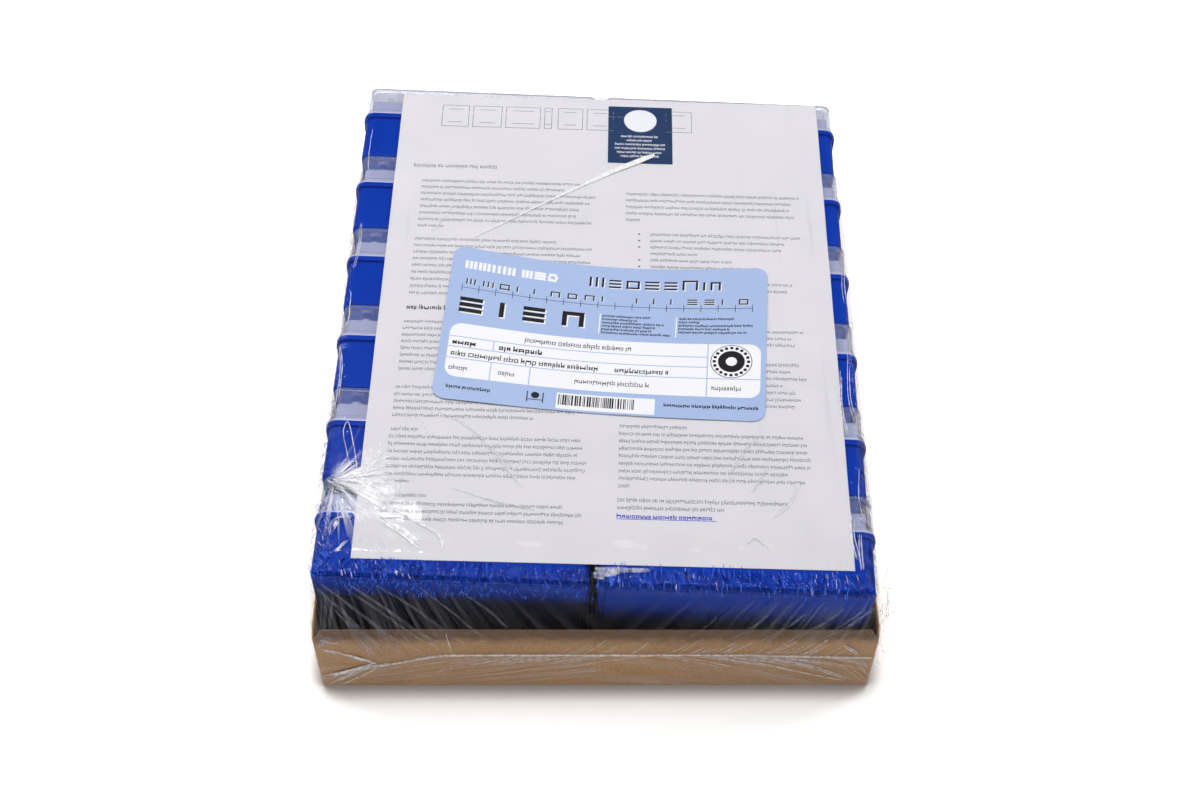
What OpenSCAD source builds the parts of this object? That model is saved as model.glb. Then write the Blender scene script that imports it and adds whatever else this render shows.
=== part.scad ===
// Sealed trade pack of pipette tips. Twelve tip racks stand on their long sides in a kraft tray,
// in two columns, under a printed sheet, a shrink film and a label stuck on the film.
// A rack is drawn lying flat, as it is used: X along its length, Z up from its base to its lid.
// The pack is drawn standing on z = 0, with its front towards -Y.

/* [Racks] */
// Length of a rack over its rim
rack_l = 122.1; // [100:0.1:150]
// Width of a rack over its rim
rack_w = 84.4; // [76:0.1:104]
// How far the rim stands out from the body all round
rim_out = 1.5; // [0.5:0.1:3]
// Corner radius of the rim
rim_r = 6; // [3:0.5:9]
// Height of the rim flange
rim_h = 2.8; // [1.5:0.1:5]

/* [Base] */
// Height of the base from its seat on the rack below to the top of its rim
base_h = 29.1; // [24:0.1:40]
// Wall and floor thickness of the base
base_wall = 1.6; // [1:0.1:2.4]
// Height of the stacking foot under the base
foot_h = 1.2; // [0.6:0.1:2]
// How far the stacking foot is set in from the body
foot_inset = 3.2; // [2:0.1:5]
// How deep the tip plate's skirt drops inside the rim
ledge_drop = 3.5; // [2:0.1:5]
// Width of the ledge that carries the tip plate
ledge_w = 1.8; // [1.2:0.1:3]
// Height of the ledge
ledge_h = 1.6; // [1:0.1:3]

/* [Lid] */
// Height of the lid above the rim
lid_h = 19.3; // [17:0.1:26]
// Wall and panel thickness of the lid
lid_wall = 1.1; // [0.8:0.1:1.5]
// Height of the flange along the lid's lower edge
flange_h = 1.4; // [0.8:0.1:3]
// How far the flange stays back from the edge of the rim
flange_inset = 0.4; // [0.2:0.1:1]
// Height of the thicker band above the flange
band_h = 3.4; // [2:0.1:6]
// How far the thicker band stands out from the lid's wall
band_out = 0.5; // [0.2:0.1:1]

/* [Tips] */
// Distance between neighbouring tips
tip_pitch = 9; // [8.5:0.1:9.5]
// Tips along the rack
tip_cols = 12; // [4:1:12]
// Tips across the rack
tip_rows = 8; // [2:1:8]
// Height of a tip's collar above the plate
collar_h = 4.7; // [2:0.1:5]
// Radius of a tip's collar
collar_r = 3; // [2.9:0.05:3.6]
// Radius of a tip just under its collar
shank_r = 2.45; // [2:0.05:2.6]
// Length of a tip below the plate's top
shank_l = 26.9; // [18:0.1:30]
// Radius of a tip at its point
point_r = 0.55; // [0.4:0.05:1]
// Thickness of the plastic at a tip's point
point_wall = 0.2; // [0.1:0.05:0.3]
// Thickness of the plastic at a tip's collar
collar_wall = 0.8; // [0.5:0.05:1]

/* [Tip plate] */
// Thickness of the plate
deck_t = 1.4; // [1:0.1:2.5]
// Thickness of the plate's skirt
skirt_t = 1.1; // [0.8:0.1:1.6]

/* [Pack] */
// Racks from front to back
rack_rows = 6; // [2:1:6]
// Gap between the rims of the two columns
col_gap = 0.8; // [0.3:0.1:4]
// How far the racks have turned in the tray, in degrees
stack_turn = -2.4; // [-3:0.1:3]
// How far each row has slipped sideways on the row in front of it
row_slip = -1; // [-1.2:0.1:1.2]

/* [Tray] */
// Height of the tray
tray_h = 55; // [30:1:70]
// Thickness of the board
board_t = 0.8; // [0.5:0.1:1.5]
// Length of the glued corner tabs
tab_l = 24; // [12:1:40]
// Size of the cut at the tray's top corners
corner_cut = 4; // [1:0.5:8]
// Outside radius of the upright folds
fold_r = 1.2; // [0.8:0.1:2]

/* [Sheet and label] */
// Width of the sheet
sheet_w = 215.9; // [150:0.1:230]
// Length of the sheet
sheet_l = 279.4; // [200:0.1:285]
// Thickness of the sheet
sheet_t = 0.15; // [0.1:0.05:0.3]
// Turn of the sheet on the racks, in degrees
sheet_turn = 0.8; // [-1:0.1:1]
// Width of the label
label_w = 152.4; // [80:0.1:180]
// Length of the label
label_l = 91; // [50:1:120]
// Corner radius of the label
label_r = 6; // [2:0.5:12]
// Thickness of the label
label_t = 0.12; // [0.1:0.01:0.3]
// Turn of the label on the racks, in degrees
label_turn = -2.5; // [-8:0.1:8]

/* [Film] */
// Thickness of the film
film_t = 0.2; // [0.1:0.05:0.4]

/* [Clearances] */
// Clearance of the tip plate's skirt inside the base
skirt_clear = 0.3; // [0.2:0.05:0.6]
// Clearance of a tip in its hole
hole_clear = 0.12; // [0.08:0.01:0.2]
// Play of the stacking foot in the lid below, on each side
foot_play = 1.5; // [1.3:0.1:2]
// Depth of the lid's sunken panel beyond the foot
foot_float = 0.3; // [0.2:0.05:0.6]
// Space between the turned racks and the tray's long walls
side_clear = 0.3; // [0.2:0.1:5]
// Space between the racks and the tray's front tabs
front_clear = 0.3; // [0.2:0.1:20]
// Space between the racks and the tray's back tabs
back_clear = 2; // [1:0.1:20]
// Space between the film and what it wraps
film_gap = 0.05; // [0.02:0.01:0.1]

/* [Hidden] */
$fn = 48;
eps = 0.01;
SIDES = ["left", "right"];
KINDS = ["base", "lid", "tip_plate", "tips"];

// Rack
body_l = rack_l - 2 * rim_out;
body_w = rack_w - 2 * rim_out;
body_r = max(rim_r - rim_out, 1);
cavity_r = max(body_r - base_wall, 0.5);
rack_pitch = base_h + lid_h;
foot_l = body_l - 2 * foot_inset;
foot_w = body_w - 2 * foot_inset;
foot_r = max(body_r - foot_inset, 1);
ledge_z = base_h - ledge_drop;
recess_l = foot_l + 2 * foot_play;
recess_w = foot_w + 2 * foot_play;
recess_r = foot_r + foot_play;
recess_h = foot_h + foot_float;
panel_z = rack_pitch - recess_h - lid_wall;
tip_head = 0.8;
deck_z = panel_z - tip_head - collar_h;
plate_l = body_l - 2 * (base_wall + skirt_clear);
plate_w = body_w - 2 * (base_wall + skirt_clear);
plate_r = max(cavity_r - skirt_clear, 0.4);
hole_r = shank_r + hole_clear;
shank_taper_z = -5;
shank_taper = 0.1;
shank_mid_z = -14;
shank_mid_r = 1.3;
shank_mid_wall = 0.35;
bore_shoulder_z = -6;
bore_shoulder_r = 1.5;
collar_taper = 0.1;
collar_top_r = collar_r - collar_taper;
hole_overcut = 1;

// Stack of racks, in its own axes: X across the two columns, Y back from the middle of its depth
column_x = (rack_l + col_gap) / 2;
block_w = 2 * rack_l + col_gap;
stack_d = rack_rows * rack_pitch;
function row_y(row) = -stack_d / 2 + row * rack_pitch;
function row_x(row) = row_slip * (row - (rack_rows - 1) / 2);
function turned(p) = [
    p[0] * cos(stack_turn) - p[1] * sin(stack_turn),
    p[0] * sin(stack_turn) + p[1] * cos(stack_turn)];
corners = [for (row = [0, rack_rows - 1], side = [-1, 1], end = [0, 1])
    turned([row_x(row) + side * block_w / 2,
            row_y(row) + end * rack_pitch - (row == 0 && end == 0 ? foot_h : 0)])];
reach_x = max([for (c = corners) abs(c[0])]);
front_y = min([for (c = corners) c[1]]);
back_y = max([for (c = corners) c[1]]);

// Tray, centred on x = 0 and y = 0
tray_l = 2 * (reach_x + side_clear + board_t);
tray_d = back_y - front_y + front_clear + back_clear + 4 * board_t;
stack_y = -tray_d / 2 + 2 * board_t + front_clear - front_y;
side_h = tray_h - corner_cut;
tab_drop = 2;
tray_z = film_t + film_gap;
rack_z = tray_z + board_t;
top_z = rack_z + rack_w;

// Sheet and label, placed on the stack's own axes
sheet_at = [4.4, 3];
label_at = [3.6, -11.6];
label_z = top_z + sheet_t + film_gap + film_t;

// A flat rectangle with round corners, about the origin
module rounded(l, w, r) {
    square([l - 2 * r, w], center = true);
    square([l, w - 2 * r], center = true);
    for (x = [-1, 1], y = [-1, 1])
        translate([x * (l / 2 - r), y * (w / 2 - r)])
            circle(r);
}

module slab(l, w, r, z0, z1) {
    translate([0, 0, z0])
        linear_extrude(z1 - z0)
            rounded(l, w, r);
}

// An outer slab with its middle cut away, leaving a wall all round
module ring(l, w, r, wall, z0, z1) {
    translate([0, 0, z0])
        linear_extrude(z1 - z0)
            difference() {
                rounded(l, w, r);
                rounded(l - 2 * wall, w - 2 * wall, max(r - wall, 0.4));
            }
}

module at_tips() {
    for (i = [0 : tip_cols - 1], j = [0 : tip_rows - 1])
        translate([(i - (tip_cols - 1) / 2) * tip_pitch, (j - (tip_rows - 1) / 2) * tip_pitch, 0])
            children();
}

// Base: a floor on a stacking foot, walls, a rim flange and the ledge for the tip plate
module base() {
    color("mediumblue")
        union() {
            difference() {
                union() {
                    slab(foot_l, foot_w, foot_r, -foot_h, 0);
                    slab(body_l, body_w, body_r, 0, base_h);
                    slab(rack_l, rack_w, rim_r, base_h - rim_h, base_h);
                }
                slab(body_l - 2 * base_wall, body_w - 2 * base_wall, cavity_r,
                    base_wall, base_h + eps);
                slab(foot_l - 2 * base_wall, foot_w - 2 * base_wall, max(foot_r - base_wall, 0.4),
                    base_wall - foot_h, base_wall + eps);
            }
            ring(body_l - 2 * base_wall, body_w - 2 * base_wall, cavity_r, ledge_w,
                ledge_z - ledge_h, ledge_z);
        }
}

// Lid: a flange on the rim, a thicker band, the wall and a panel sunk inside the wall's top edge
module lid() {
    color("lightsteelblue", 0.35)
        difference() {
            union() {
                slab(rack_l - 2 * flange_inset, rack_w - 2 * flange_inset, rim_r - flange_inset,
                    base_h, base_h + flange_h);
                slab(body_l + 2 * band_out, body_w + 2 * band_out, body_r + band_out,
                    base_h, base_h + band_h);
                slab(body_l, body_w, body_r, base_h, rack_pitch);
            }
            slab(body_l - 2 * lid_wall, body_w - 2 * lid_wall, max(body_r - lid_wall, 0.4),
                base_h - eps, panel_z);
            slab(recess_l, recess_w, recess_r, rack_pitch - recess_h, rack_pitch + eps);
        }
}

// Tip plate: a deck with a hole for each tip, on a skirt that stands on the base's ledge
module tip_plate() {
    color("whitesmoke")
        difference() {
            slab(plate_l, plate_w, plate_r, ledge_z, deck_z);
            slab(plate_l - 2 * skirt_t, plate_w - 2 * skirt_t, max(plate_r - skirt_t, 0.3),
                ledge_z - eps, deck_z - deck_t);
            at_tips()
                translate([0, 0, deck_z - deck_t - hole_overcut])
                    cylinder(h = deck_t + 2 * hole_overcut, r = hole_r);
        }
}

// Tips: hollow, each hanging by its collar in its hole
module tips() {
    color("ivory")
        at_tips()
            translate([0, 0, deck_z])
                rotate_extrude()
                    polygon([
                        [collar_top_r - collar_wall, collar_h], [collar_top_r, collar_h],
                        [collar_r, 0], [shank_r, 0], [shank_r - shank_taper, shank_taper_z],
                        [shank_mid_r, shank_mid_z], [point_r, -shank_l],
                        [point_r - point_wall, -shank_l], [shank_mid_r - shank_mid_wall, shank_mid_z],
                        [bore_shoulder_r, bore_shoulder_z]]);
}

// Puts the stack's own axes in the tray
module in_stack() {
    translate([0, stack_y, 0])
        rotate([0, 0, stack_turn])
            children();
}

// Stands a flat-lying rack on its long side, with its base to the front
module place(side, row) {
    in_stack()
        translate([(side == "left" ? -1 : 1) * column_x + row_x(row - 1), row_y(row - 1),
                   rack_z + rack_w / 2])
            rotate([-90, 0, 0])
                children();
}

// Front or back wall of the tray, with its top corners cut off
module cut_wall(y) {
    translate([0, y + board_t, tray_z])
        rotate([90, 0, 0])
            linear_extrude(board_t)
                polygon([
                    [-tray_l / 2, 0], [tray_l / 2, 0], [tray_l / 2, side_h],
                    [tray_l / 2 - corner_cut, tray_h], [corner_cut - tray_l / 2, tray_h],
                    [-tray_l / 2, side_h]]);
}

// Side wall of the tray with a tab at each end, glued behind the front and back walls
module tabbed_wall() {
    translate([tray_l / 2 - board_t, -tray_d / 2, tray_z])
        cube([board_t, tray_d, side_h]);
    for (y = [board_t - tray_d / 2, tray_d / 2 - 2 * board_t])
        translate([tray_l / 2 - board_t - tab_l, y, tray_z])
            cube([tab_l, board_t, side_h - tab_drop]);
}

// Tray: a floor and four walls, folded from one sheet of board
module tray() {
    color("tan")
        intersection() {
            union() {
                translate([-tray_l / 2, -tray_d / 2, tray_z])
                    cube([tray_l, tray_d, board_t]);
                cut_wall(-tray_d / 2);
                cut_wall(tray_d / 2 - board_t);
                tabbed_wall();
                mirror([1, 0, 0])
                    tabbed_wall();
            }
            slab(tray_l, tray_d, fold_r, tray_z - eps, tray_z + tray_h + eps);
        }
}

// Certificate: one flat sheet lying on the racks
module certificate() {
    color("white")
        in_stack()
            translate([sheet_at[0], sheet_at[1], top_z])
                rotate([0, 0, sheet_turn])
                    linear_extrude(sheet_t)
                        square([sheet_w, sheet_l], center = true);
}

// Label: stuck on the outside of the film
module label() {
    color("lightblue")
        in_stack()
            translate([label_at[0], label_at[1], label_z])
                rotate([0, 0, label_turn])
                    linear_extrude(label_t)
                        rounded(label_w, label_l, label_r);
}

// The tight form round the racks, the sheet and the tray, grown by g
module envelope(g) {
    hull() {
        in_stack()
            for (row = [0, rack_rows - 1])
                translate([row_x(row) - block_w / 2 - g, row_y(row) - foot_h - g, rack_z])
                    cube([block_w + 2 * g, rack_pitch + foot_h + 2 * g, rack_w + sheet_t + g]);
        translate([-tray_l / 2 - g, -tray_d / 2 - g, tray_z - g])
            cube([tray_l + 2 * g, tray_d + 2 * g, tray_h + g]);
    }
}

// Film: a closed skin drawn tight over the pack
module shrink_film() {
    color("white", 0.2)
        difference() {
            envelope(film_gap + film_t);
            envelope(film_gap);
        }
}

tray();
certificate();
label();
shrink_film();
for (side = SIDES, row = [1 : rack_rows]) {
    name = str(side, "_", row);
    place(side, row) base();
    place(side, row) lid();
    place(side, row) tip_plate();
    place(side, row) tips();
}
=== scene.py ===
"""The looks of a sealed trade pack of pipette tips: racks, kraft tray, printed sheet, label and shrink film.

Lengths are in millimetres, and make() turns them into metres. Two sets of axes are used beside the row
frame's: the stack's, turned with the racks about Z, and each rack's own, lying flat with its lid upwards.
"""
import random
from math import atan2, ceil, cos, hypot, pi, radians, sin, sqrt

import bmesh
import bpy
import numpy as np
from mathutils import Matrix, Vector, noise


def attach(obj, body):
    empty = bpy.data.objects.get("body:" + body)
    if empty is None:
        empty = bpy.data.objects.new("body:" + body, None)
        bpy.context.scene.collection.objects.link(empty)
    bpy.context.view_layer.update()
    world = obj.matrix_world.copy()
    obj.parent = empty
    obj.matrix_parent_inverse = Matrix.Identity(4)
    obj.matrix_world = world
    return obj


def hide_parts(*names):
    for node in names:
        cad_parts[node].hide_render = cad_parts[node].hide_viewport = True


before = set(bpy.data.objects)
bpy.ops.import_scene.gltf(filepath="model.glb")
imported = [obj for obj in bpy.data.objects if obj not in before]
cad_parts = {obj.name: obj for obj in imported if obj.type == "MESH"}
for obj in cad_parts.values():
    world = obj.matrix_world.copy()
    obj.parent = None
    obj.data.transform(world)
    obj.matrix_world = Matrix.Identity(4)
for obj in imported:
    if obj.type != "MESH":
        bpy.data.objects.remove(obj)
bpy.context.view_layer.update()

MM = 0.001
ROOT = "root"
SIDES = ("left", "right")
ROWS = range(1, 7)
FRONT, UP = Vector((0, -1, 0)), Vector((0, 0, 1))

# Sizes of a rack, as the CAD part has them
RACK_L, RACK_W = 122.1, 84.4
RIM_OUT, RIM_R, RIM_H = 1.5, 6.0, 2.8
BASE_H, BASE_WALL = 29.1, 1.6
FOOT_H, FOOT_IN = 1.2, 3.2
LEDGE_Z, LEDGE_W, LEDGE_H = 25.6, 1.8, 1.6
PITCH = 48.4
LID_WALL = 1.1
FLANGE_OUT, FLANGE_H = 1.1, 1.4
BAND_OUT, BAND_H = 0.5, 3.4
RECESS_IN, RECESS_H = 1.7, 1.5
DECK_Z, COLLAR_H, TIP_PITCH = 40.3, 4.7, 9.0
TIP_COLS, TIP_ROWS = 12, 8
BODY_L, BODY_W, BODY_R = RACK_L - 2 * RIM_OUT, RACK_W - 2 * RIM_OUT, RIM_R - RIM_OUT

# Sizes of the tray, the sheet, the label and a layer of print
BOARD, TAB_L, TAB_DROP, FOLD_R, EDGE_R = 0.8, 24.0, 1.0, 1.2, 0.15
SIDE_H, CUT_W, CUT_H = 51.0, 4.5, 8.0
SHEET_W, SHEET_L, SHEET_T = 215.9, 279.4, 0.15
SHEET_TURN = radians(-1.6)
LABEL_W, LABEL_L, LABEL_R, LABEL_T = 152.4, 91.0, 6.0, 0.12
LABEL_TURN = radians(-4.9)
INK_T = 0.02

# How far the tray's side walls are drawn in, at their front and back ends: at the floor, then at the top
LEFT_IN, RIGHT_IN = ((0.7, 1.6), (0.7, 5.0)), ((1.6, 0.1), (3.5, 0.5))

# The film: points along each side and at each corner of its mesh, its length round the pack, its sag
# between two rims and its droop past the last ones
PER_SIDE, PER_CORNER, GIRTH = 190, 6, 1050.0
FILM_SAG, FILM_DROOP = 0.2, 1.15


# ---------------------------------------------------------------- places, read from the frame

def node_box(node, turn=0.0):
    """Lowest and highest corner of a CAD node, in millimetres, in axes turned about Z."""
    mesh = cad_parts[node].data
    flat = np.empty(len(mesh.vertices) * 3, np.float32)
    mesh.vertices.foreach_get("co", flat)
    x, y, z = flat.reshape(-1, 3).T.astype(float) / MM
    c, s = cos(turn), sin(turn)
    q = np.stack((x * c + y * s, y * c - x * s, z))
    return Vector(q.min(1)), Vector(q.max(1))


def middle(node):
    lo, hi = node_box(node)
    return (lo + hi) / 2


across = middle("base_right_1") - middle("base_left_1")
TURN = atan2(across.y, across.x)
STACK = Matrix.Rotation(TURN, 4, "Z")
TRAY_LO, TRAY_HI = node_box("tray")
SHEET_AT, LABEL_AT = middle("certificate"), middle("label")
SHEET_Z, LABEL_Z = node_box("certificate")[0].z, node_box("label")[0].z
FILM_TOP = node_box("shrink_film")[1].z
RACK_LO, RACK_HI = node_box("base_left_1", TURN)
RACK_TOP, RIM_Y, FRONT_Y = RACK_HI.z, RACK_HI.y - RIM_H / 2, RACK_LO.y
GAP_X = (node_box("base_left_1")[1].x + node_box("base_right_1")[0].x) / 2


def rack_matrix(side, row):
    """From a rack's own axes to the row frame, in millimetres."""
    lo, hi = node_box(f"base_{side}_{row}", TURN)
    at = Vector(((lo.x + hi.x) / 2, lo.y + FOOT_H, (lo.z + hi.z) / 2))
    return STACK @ Matrix.Translation(at) @ Matrix.Rotation(-pi / 2, 4, "X")


def droop(x, y, sag, beyond):
    """How far a sheet on the racks sinks midway between two rims, and out past the first and last rim."""
    off = (STACK.inverted() @ Vector((x, y, 0))).y - RIM_Y
    last = (len(ROWS) - 1) * PITCH
    if 0 <= off <= last:
        return sag * (1 - cos(2 * pi * off / PITCH)) / 2
    return beyond * smoothstep(1.0, 18.0, -off if off < 0 else off - last)


def film_height(x, y):
    """Height of the film over the racks."""
    return FILM_TOP - 0.03 - droop(x, y, FILM_SAG, FILM_DROOP)


# ---------------------------------------------------------------- mesh helpers

def clamp(x, low=0.0, high=1.0):
    return min(max(x, low), high)


def between(a, b, t):
    """From a at t = 0 to b at t = 1, in a straight line."""
    return a + (b - a) * t


def smoothstep(a, b, x):
    """From 0 at a to 1 at b, level at both ends."""
    t = clamp((x - a) / (b - a))
    return t * t * (3 - 2 * t)


def circle(count):
    """Angles spaced evenly round a circle."""
    return [2 * pi * k / count for k in range(count)]


def rough(x, y, z):
    """Smooth noise between -1 and 1."""
    return noise.noise(Vector((x, y, z)))


def show(name, data):
    """A new object in the scene."""
    ob = bpy.data.objects.new(name, data)
    bpy.context.scene.collection.objects.link(ob)
    return ob


def make(name, verts, faces, materials, slots=None, sharp=40.0):
    """A mesh object from points in millimetres, smooth except over sharp edges."""
    mesh = bpy.data.meshes.new(name)
    mesh.from_pydata([Vector(v) * MM for v in verts], [], faces)
    for m in materials:
        mesh.materials.append(m)
    if slots is not None:
        mesh.polygons.foreach_set("material_index", slots)
    mesh.update()
    mesh.shade_smooth()
    mesh.set_sharp_from_angle(angle=radians(sharp))
    return show(name, mesh)


def outward(mesh):
    """Turns the faces of a closed mesh outwards."""
    bm = bmesh.new()
    bm.from_mesh(mesh)
    bmesh.ops.recalc_face_normals(bm, faces=bm.faces)
    bm.to_mesh(mesh)
    bm.free()


def weigh_normals(ob):
    """Bakes area-weighted normals into the mesh, so that flat faces stay flat beside their fillets."""
    ob.modifiers.new("weigh", "WEIGHTED_NORMAL").keep_sharp = True
    bpy.context.view_layer.update()
    baked = bpy.data.meshes.new_from_object(ob.evaluated_get(bpy.context.evaluated_depsgraph_get()))
    ob.modifiers.clear()
    ob.data = baked


def paint(ob, name, values):
    """Keeps a number or a vector for each point of a mesh, for its material to read."""
    values = np.array(values, np.float32)
    vector = values.ndim > 1
    layer = ob.data.attributes.new(name, "FLOAT_VECTOR" if vector else "FLOAT", "POINT")
    layer.data.foreach_set("vector" if vector else "value", values.ravel())


def ride(ob, slot, *nodes):
    """Every piece rides on the one body. Names the CAD nodes that it stands for, which are hidden; the slot
    is not used.
    """
    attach(ob, ROOT)
    if nodes:
        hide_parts(*nodes)
    return ob


def grid(at, closed=False):
    """Faces over a grid of point numbers. A closed one also joins the ends of its rows."""
    if closed:
        at = np.hstack((at, at[:, :1]))
    return np.stack((at[:-1, :-1], at[:-1, 1:], at[1:, 1:], at[1:, :-1]), -1).reshape(-1, 4).tolist()


def tube(first, rings, sides):
    """Faces of a closed tube of rings of points: its skin, its first end and its last end."""
    at = first + np.arange(rings * sides).reshape(rings, sides)
    return grid(at, True) + [at[0, ::-1].tolist(), at[-1].tolist()]


def bend(a, corner, b, steps):
    """Points of a short curve from a to b, drawn towards the corner between them."""
    ts = [k / steps for k in range(steps + 1)]
    return [a * (1 - t) ** 2 + corner * 2 * t * (1 - t) + b * t * t for t in ts]


def rounded_path(points):
    """An open path of (x, y, r) corners, with each corner of radius r turned into a short arc."""
    out = []
    for i, (x, y, r) in enumerate(points):
        here = Vector((x, y))
        if r <= 0 or i in (0, len(points) - 1):
            out.append(here)
            continue
        ways = [Vector(points[k][:2]) - here for k in (i - 1, i + 1)]
        a, b = (here + way.normalized() * min(r, way.length * 0.48) for way in ways)
        out += bend(a, here, b, 3)
    return out


def curve_points(keys, steps):
    """Points of a smooth curve through the keys."""
    out = []
    for i in range(len(keys) - 1):
        p0, p1 = keys[max(i - 1, 0)], keys[i]
        p2, p3 = keys[i + 1], keys[min(i + 2, len(keys) - 1)]
        for k in range(steps):
            t = k / steps
            out.append(0.5 * (2 * p1 + (p2 - p0) * t + (2 * p0 - 5 * p1 + 4 * p2 - p3) * t * t
                              + (3 * p1 - p0 - 3 * p2 + p3) * t ** 3))
    return out + [keys[-1]]


def outline(length, width, radius):
    """Points of a rounded rectangle about the origin, anticlockwise from its right side."""
    out, arc = [], 7
    for cx, cy, start in ((1, 1, 0), (-1, 1, 90), (-1, -1, 180), (1, -1, 270)):
        for k in range(arc + 1):
            a = radians(start + 90 * k / arc)
            out.append((cx * (length / 2 - radius) + radius * cos(a),
                        cy * (width / 2 - radius) + radius * sin(a)))
    return out


def shell(name, path, material, closed=True):
    """A rack's shell: (offset from the body's outline, height) points swept round it and capped.
    The clear lid is one skin, open where it sits on the base, so that light reaches what it covers."""
    rings = [outline(BODY_L + 2 * off, BODY_W + 2 * off, max(BODY_R + off, 0.4)) for off, _ in path]
    sides = len(rings[0])
    faces = tube(0, len(rings), sides)
    if not closed:
        faces.pop(-2)
    verts = [(x, y, z) for ring, (_, z) in zip(rings, path) for x, y in ring]
    ob = make(name, verts, faces, [material])
    paint(ob, "thick", [float(off > 0.8) for off, _ in path for _ in range(sides)])
    outward(ob.data)
    weigh_normals(ob)
    return ob


class Gathered:
    """Faces gathered into one mesh, each with the short name of its material."""

    def __init__(self, seed=0):
        self.rng = random.Random(seed)
        self.verts, self.faces, self.looks = [], [], []

    def keep(self, faces, look):
        """Adds faces, all of one material."""
        self.faces += faces
        self.looks += [look] * len(faces)

    def build(self, name, mats, sharp=40.0):
        """The mesh object, with only the materials that its faces use."""
        used = list(dict.fromkeys(self.looks))
        slots = [used.index(look) for look in self.looks]
        return make(name, self.verts, self.faces, [mats[look] for look in used], slots, sharp)


class Plates(Gathered):
    """Thin plates in layers that follow a surface, and the plain marks of a print made of them."""

    def __init__(self, point, ground=0.0, thick=INK_T, seed=0):
        super().__init__(seed)
        self.point, self.ground, self.thick = point, ground, thick

    def add(self, x0, y0, x1, y1, look, radius=0.0, layer=0, cell=4.0):
        """A plate over a rectangle, with round corners."""
        cx, half = (x0 + x1) / 2, (x1 - x0) / 2
        radius, arc = max(min(radius, half, (y1 - y0) / 2), 0.0), 6
        turns = [pi / 2 * k / arc for k in range(arc + 1)] if radius > 0 else [0.0]
        rows = [(y0 + radius * (1 - cos(a)), half - radius * (1 - sin(a))) for a in turns]
        top = [(y0 + y1 - y, w) for y, w in reversed(rows)]
        start, rise = rows[-1][0], top[0][0] - rows[-1][0]
        count = max(ceil(rise / cell), 1)
        rows += [(start + rise * k / count, half) for k in range(1, count)]
        rows += top if rise > 1e-6 else top[1:]
        cols = max(ceil(2 * half / cell), 1)
        shape = (2, len(rows), cols + 1)
        at = len(self.verts) + np.arange(np.prod(shape)).reshape(shape)
        low = self.ground + layer * self.thick
        self.verts += [self.point(cx + w * (2 * c / cols - 1), y, h)
                       for h in (low, low + self.thick) for y, w in rows for c in range(cols + 1)]
        rim = np.hstack((at[:, 0], at[:, 1:, -1], at[:, -1, -2::-1], at[:, -2:0:-1, 0]))
        self.keep(grid(at[1]) + grid(at[0].T) + grid(rim, True), look)

    def spot(self, x, y, half, look, radius, layer):
        """A square plate about a point, round if its radius is half its width."""
        self.add(x - half, y - half, x + half, y + half, look, radius, layer)

    def greek(self, x0, x1, y, size, look, stroke, layer=0):
        """A line of unreadable marks: upright strokes of the height of small letters, some of them linked."""
        rng, x, bar = self.rng, x0, size * stroke
        while x < x1 - size:
            for _ in range(rng.choice(range(2, 10))):
                wide = size * rng.choice((0.0, 0.35, 0.55, 0.62, 0.68, 0.95))
                if x + wide + bar > x1:
                    break
                tall, deep = rng.choice(((1, 0), (1, 0), (1, 0), (1.45, 0), (1, 0.4)))
                self.add(x, y - deep * size, x + bar, y + tall * size, look, layer=layer)
                if wide:
                    self.add(x + wide, y, x + wide + bar, y + size, look, layer=layer)
                    for level in rng.sample((0.0, 0.3, 0.5, 0.75, 1.0), 2):
                        at = y + level * (size - bar)
                        self.add(x + bar, at, x + wide, at + bar, look, layer=layer)
                x += wide + bar + size * 0.24
            x += size * 0.36

    def mark(self, rng, x, y, wide, high, line, look, layer=0):
        """A plain stand-in for a letter: a bar, a frame, or a few bars, drawn with one width of line."""
        left, right = (x, y, x + line, y + high), (x + wide - line, y, x + wide, y + high)
        floor, roof = (x, y, x + wide, y + line), (x, y + high - line, x + wide, y + high)
        rung = (x, y + (high - line) / 2, x + wide, y + (high + line) / 2)
        post = (x + (wide - line) / 2, y, x + (wide + line) / 2, y + high)
        bars = rng.choice(((floor, roof, left, right), (floor, roof, rung), (left, right, roof),
                           (left, right, post)))
        for bar in bars if wide >= 3 * line else (left,):
            self.add(*bar, look, layer=layer)

    def letter(self, seed, x, y, wide, high, line, edge):
        """A dark mark over a light one that shows at its lower right."""
        self.mark(random.Random(seed), x + edge, y - edge, wide, high, line, "white")
        self.mark(random.Random(seed), x, y, wide, high, line, "black", 1)


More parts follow.
